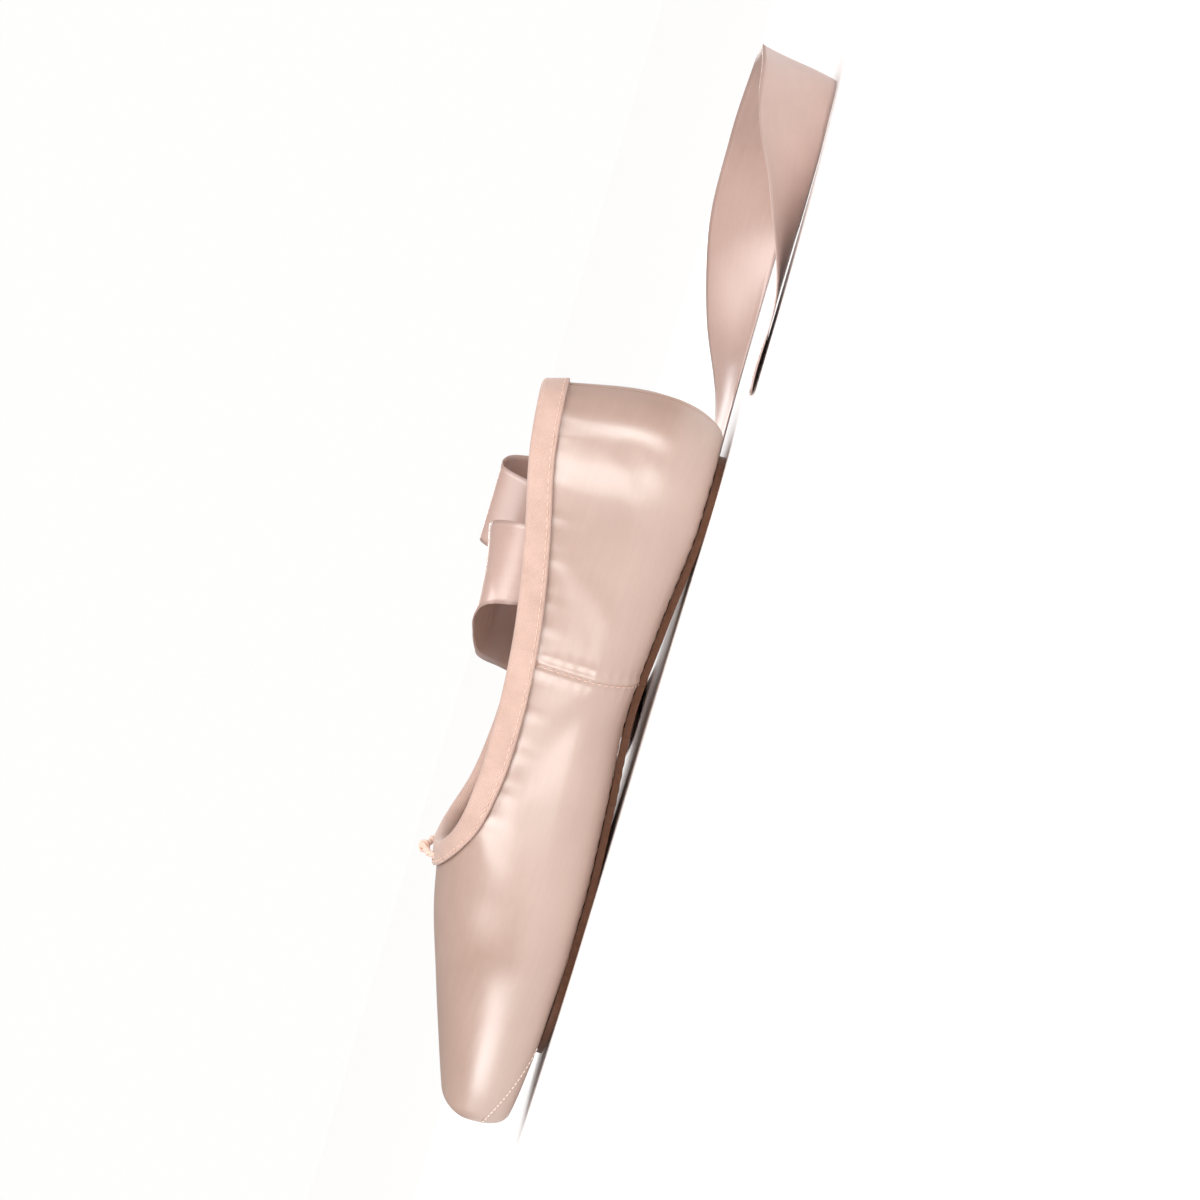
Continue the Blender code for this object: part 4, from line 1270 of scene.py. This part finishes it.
# %% [markdown]
# ## The drawstring
# A twisted cotton cord runs inside the binding. It shows at the throat, where its ends come out and
# are tied in a small knot. The twist could be painted on one round tube, but its outline would stay
# smooth. So two thin tubes wind round each other, and two more wrap round them for the knot.

# %% Cord and knot
cotton, tree, shader = new_material("cotton_cord", 0.82, Specular_IOR_Level=0.3, Sheen_Weight=0.3)
out = placed_group(tree, weave, {
    "Cloth": on_uv(tree), "Threads": 2600.0, "Float": 5.0, "Depth": 0.0001, "Mottle": 120.0,
    "Light": (0.88, 0.66, 0.56, 1), "Deep": (0.74, 0.50, 0.40, 1), "Rough": 0.82, "Uneven": 0.1})
tree.links.new(out["Color"], shader.inputs["Base Color"])
tree.links.new(out["Normal"], shader.inputs["Normal"])

CORD_REACH = 0.011
CORD_LEVEL = 0.0068
CORD_SINK = 0.0034
KNOT_WRAP = 0.0021
KNOT_TURNS, KNOT_LENGTH = 3.2, 0.0038


def throat_line(points_at):
    """The line on the binding's face on which the cord lies."""
    seat = BINDING_GAP + BINDING_THICKNESS + CLEARANCE + CORD_DIAMETER / 2
    strip = collar_strip(shell, shell_out, [BINDING_WIDTH * 0.42], [0.001], seat, turns)[:, 0]
    near = strip[strip[:, 0] > THROAT_X - 0.012]
    near = near[np.argsort(near[:, 1])]
    x_at, z_at = smooth_curve(near[::3, 1], near[::3, 0]), smooth_curve(near[::3, 1], near[::3, 2])
    return x_at(points_at), z_at(points_at)


# %% Strands that wind round a path
def twisted(path, radius, turns_per_metre, strands):
    """The centre lines of strands that wind round a path."""
    path = np.array(path)
    tangent = unit(np.gradient(path, axis=0))
    side = unit(np.cross(tangent, (0.0, 0.0, 1.0)))
    other = np.cross(side, tangent)
    run = np.concatenate([[0], np.cumsum(np.linalg.norm(np.diff(path, axis=0), axis=1))])
    lines = []
    for k in range(strands):
        turn = 2 * math.pi * (run * turns_per_metre + k / strands)
        lines.append(path + radius * (side * np.cos(turn)[:, None] + other * np.sin(turn)[:, None]))
    return lines


def joined(name, pieces):
    """Several pieces as one."""
    with bpy.context.temp_override(
        active_object=pieces[0], object=pieces[0],
        selected_objects=pieces, selected_editable_objects=pieces,
    ):
        bpy.ops.object.join()
    pieces[0].name = name
    return pieces[0]


# %% The cord
lift = KNOT_WRAP - 0.0005
cord_y = np.linspace(-CORD_REACH, CORD_REACH, 120)
cord_x, cord_z = throat_line(cord_y)
going_in = np.clip((np.abs(cord_y) - CORD_LEVEL) / (CORD_REACH - CORD_LEVEL), 0, 1)
cord_z = cord_z + lift * bell(cord_y, 1.8 * KNOT_WRAP) - CORD_SINK * going_in**1.6
cord_path = np.stack([cord_x, cord_y, cord_z], axis=1)
strands = [
    tube_piece("strand%d" % k, line, CORD_DIAMETER * 0.27, cotton)
    for k, line in enumerate(twisted(cord_path, CORD_DIAMETER * 0.22, 230.0, 2))
]

# %% The knot
share = np.linspace(-1, 1, 150)
turn = share * KNOT_TURNS * math.pi
tuck = 0.00125 - 0.0007 * share**8
knot_path = np.stack([
    cord_path[60, 0] + tuck * np.cos(turn),
    share * KNOT_LENGTH / 2,
    cord_path[60, 2] + tuck * np.sin(turn)], axis=1)
wraps = [
    tube_piece("wrap%d" % k, line, 0.00038, cotton)
    for k, line in enumerate(twisted(knot_path, 0.0003, 260.0, 2))
]
drawstring = joined("drawstring_cord", [*strands, *wraps])
dress(drawstring, "cotton_cord", "drawstring")

# %% [markdown]
# ## Stitches
# A row of stitches holds the binding, the sole and the seams. A stitch could be copied in a loop,
# but stitches repeat along a line, which is what Geometry Nodes are good at. The tree takes a line
# with an attribute for the way the surface faces, spaces points along it and sets one small bead of
# thread on each, turned along the line and lying on the surface. The copies are then made real.

# %% The stitch tree
stitch_tree = bpy.data.node_groups.new("stitches", "GeometryNodeTree")
for label, kind, value in (
    ("Line", "NodeSocketGeometry", None),
    ("Pitch", NUMBER, 0.0025),
    ("Length", NUMBER, 0.0018),
    ("Width", NUMBER, 0.0005),
    ("Height", NUMBER, 0.0004),
    ("Thread", "NodeSocketMaterial", None),
):
    socket = stitch_tree.interface.new_socket(label, in_out="INPUT", socket_type=kind)
    if value is not None:
        socket.default_value = value
stitch_tree.interface.new_socket("Stitches", in_out="OUTPUT", socket_type="NodeSocketGeometry")
start = stitch_tree.nodes.new("NodeGroupInput").outputs
end = stitch_tree.nodes.new("NodeGroupOutput").inputs
line = node(stitch_tree, "GeometryNodeMeshToCurve", {"Mesh": start["Line"]}).outputs[0]
spaced = node(stitch_tree, "GeometryNodeResampleCurve", {"Curve": line, "Length": start["Pitch"]},
              mode="LENGTH").outputs[0]
tangent = node(stitch_tree, "GeometryNodeInputTangent").outputs[0]
faced = node(stitch_tree, "GeometryNodeInputNamedAttribute", {"Name": "up"},
             data_type="FLOAT_VECTOR").outputs[0]
turned = node(stitch_tree, "FunctionNodeAxesToRotation",
              {"Primary Axis": tangent, "Secondary Axis": faced},
              primary_axis="X", secondary_axis="Z").outputs[0]
bead = node(stitch_tree, "GeometryNodeMeshUVSphere",
            {"Segments": 8, "Rings": 6, "Radius": 0.5}).outputs[0]
loop = node(stitch_tree, "GeometryNodeSetShadeSmooth", {0: bead}).outputs[0]
size = node(stitch_tree, "ShaderNodeCombineXYZ",
            {0: start["Length"], 1: start["Width"], 2: start["Height"]}).outputs[0]
placed = node(stitch_tree, "GeometryNodeInstanceOnPoints",
              {"Points": spaced, "Instance": loop, "Rotation": turned, "Scale": size}).outputs[0]
real = node(stitch_tree, "GeometryNodeRealizeInstances", {"Geometry": placed}).outputs[0]
threaded = node(stitch_tree, "GeometryNodeSetMaterial",
                {"Geometry": real, "Material": start["Thread"]}).outputs[0]
stitch_tree.links.new(threaded, end["Stitches"])
print("nodes in the stitch tree:", len(stitch_tree.nodes))


# %% Sewing along a line
def thread_and_shade_material(name, light, deep, rough):
    """Spun thread, and the back seam's painted shade: a fine noise on Object coordinates."""
    made, tree, shader = new_material(name, rough, Specular_IOR_Level=0.4, Sheen_Weight=0.2)
    at = node(tree, "ShaderNodeTexCoord").outputs["Object"]
    fibre = node(
        tree, "ShaderNodeTexNoise", {"Vector": at, "Scale": 2600.0, "Detail": 2.0}).outputs[0]
    tree.links.new(blend_colours(tree, fibre, (*deep, 1), (*light, 1)), shader.inputs["Base Color"])
    bump = node(tree, "ShaderNodeBump", {"Height": fibre, "Distance": 0.0001})
    tree.links.new(bump.outputs[0], shader.inputs["Normal"])
    return made


peach_thread = thread_and_shade_material("peach_thread", (0.86, 0.62, 0.52), (0.66, 0.42, 0.33), 0.5)
pale_thread = thread_and_shade_material("pale_thread", (0.95, 0.86, 0.80), (0.80, 0.66, 0.58), 0.5)
tan_thread = thread_and_shade_material("tan_thread", (0.16, 0.065, 0.03), (0.06, 0.022, 0.012), 0.6)


Stitch = namedtuple("Stitch", "pitch length width height")


def sew(name, path, facing, closed, thread, slot, stitch):
    """A row of stitches along a path, made once and kept as a plain mesh."""
    mesh = bpy.data.meshes.new(name + "_line")
    count = len(path)
    edges = [(k, (k + 1) % count) for k in range(count if closed else count - 1)]
    mesh.from_pydata(np.asarray(path).tolist(), edges, [])
    up = mesh.attributes.new("up", "FLOAT_VECTOR", "POINT")
    up.data.foreach_set("vector", np.asarray(facing, np.float32).ravel())
    guide = bpy.data.objects.new(name + "_line", mesh)
    bpy.context.scene.collection.objects.link(guide)
    modifier = guide.modifiers.new("stitches", "NODES")
    modifier.node_group = stitch_tree
    values = {key.capitalize(): value for key, value in stitch._asdict().items()}
    values["Thread"] = thread
    for item in stitch_tree.interface.items_tree:
        if item.in_out == "INPUT" and item.name in values:
            modifier[item.identifier] = values[item.name]
    guide.update_tag()
    graph = bpy.context.evaluated_depsgraph_get()
    sewn = bpy.data.meshes.new_from_object(guide.evaluated_get(graph))
    bpy.data.objects.remove(guide)
    made = bpy.data.objects.new(name, sewn)
    bpy.context.scene.collection.objects.link(made)
    return dress(made, slot)


# %% Stitches on the binding
tape_top = BINDING_GAP + BINDING_THICKNESS + 0.0001
sew_line = collar_strip(shell, shell_out, [BINDING_WIDTH - 0.0012], [0.001], tape_top, turns)[:, 0]
sew_up = np.array([
    [np.interp(BINDING_WIDTH, run_lengths(rib[::-1][None], 1)[0], n[::-1, k]) for k in range(3)]
    for rib, n in zip(shell, shell_out)])
sew("binding_stitches", sew_line, sew_up, True, peach_thread, "binding_tape",
    Stitch(0.0023, 0.0017, 0.0004, 0.0004))

# %% Stitches round the sole
around = np.linspace(0, math.pi, 240)
channel_start = HEEL_X + SOLE_HEEL_GAP + SOLE_CHANNEL
channel_end = TOE_X - SOLE_TOE_GAP - SOLE_CHANNEL
channel_x = channel_start + (channel_end - channel_start) * (1 - np.cos(around)) / 2
channel_y = np.maximum(sole_half_width(channel_x, SOLE_CHANNEL), 0)
channel_half = np.stack([channel_x, channel_y, rise_at(channel_x) + 0.00005], axis=1)
channel_loop = np.concatenate([channel_half, channel_half[-2:0:-1] * (1, -1, 1)])
channel_down = np.tile((0, 0, -1), (len(channel_loop), 1))
sew("sole_stitches", channel_loop, channel_down, True, tan_thread, "sole_leather",
    Stitch(0.0042, 0.0028, 0.0008, 0.0004))

# %% [markdown]
# ## Seams
# The satin is pieced: a seam stands at each side, one runs down the back of the heel, and one on
# each side of the toe joins the piece under the box. The side seams are ridges in the satin itself,
# so only their stitches are added, along the rib that runs up the seam. The back seam is a thin
# dark line of painted shade sunk in its groove. A thin cord of satin marks the pair under the toe.

# %% Side and back seams
side_rib = int(np.argmin(np.abs(shell[: len(shell) // 2, 48, 0] - SIDE_SEAM_X)))
for name, index in (("left", side_rib), ("right", len(shell) - side_rib)):
    rib, out = satin_face[index], shell_out[index]
    run = run_lengths(rib[None], 1)[0]
    keep = (run > LASTING_MARGIN + 0.0012) & (run[-1] - run > BINDING_WIDTH + 0.0006)
    shift = np.array([0.0011, 0, 0])
    sew("side_seam_stitches_" + name, rib[keep] + shift + out[keep] * 0.00002, out[keep], False,
        peach_thread, "satin", Stitch(0.0021, 0.0014, 0.00035, 0.0003))

# The dark tube in the back seam's groove is painted shade, standing in for the groove's shadow.
painted_seam_shade = thread_and_shade_material("seam_shadow", (0.42, 0.24, 0.18), (0.28, 0.14, 0.10), 0.8)
rib, out = satin_face[0], shell_out[0]
run = run_lengths(rib[None], 1)[0]
keep = (run > LASTING_MARGIN + 0.0006) & (run[-1] - run > BINDING_WIDTH - 0.001)
dress(tube_piece("back_seam", rib[keep] - out[keep] * 0.00005, 0.00022, painted_seam_shade, 6), "satin")

# %% Seams under the toe
SEAM_FROM_TOE = 0.031
SEAM_STOP = 0.0024
SEAM_CLIMB = 0.0068
TOE_SEAM_RADIUS = 0.00028
seam_share = np.linspace(0, 1, 60)
seam_x = TOE_X - SEAM_FROM_TOE * (1 - seam_share) - SEAM_STOP * seam_share
seam_z = UNDERSIDE + rise_at(seam_x) + 0.0004 + SEAM_CLIMB * seam_share**1.35
seam_y = form_half_width(seam_x, seam_z)
for name, side in (("left", 1), ("right", -1)):
    line = np.stack([seam_x, side * seam_y, seam_z], axis=1)
    dress(tube_piece("toe_seam_" + name, line, TOE_SEAM_RADIUS, satin), "satin")
    facing = np.stack([0 * seam_x, side * (seam_y > 0), -0.6 + 0 * seam_x], axis=1)
    sew("toe_seam_stitches_" + name, line + facing * TOE_SEAM_RADIUS, facing, False, pale_thread,
        "satin", Stitch(0.0016, 0.0011, 0.0004, 0.0003))
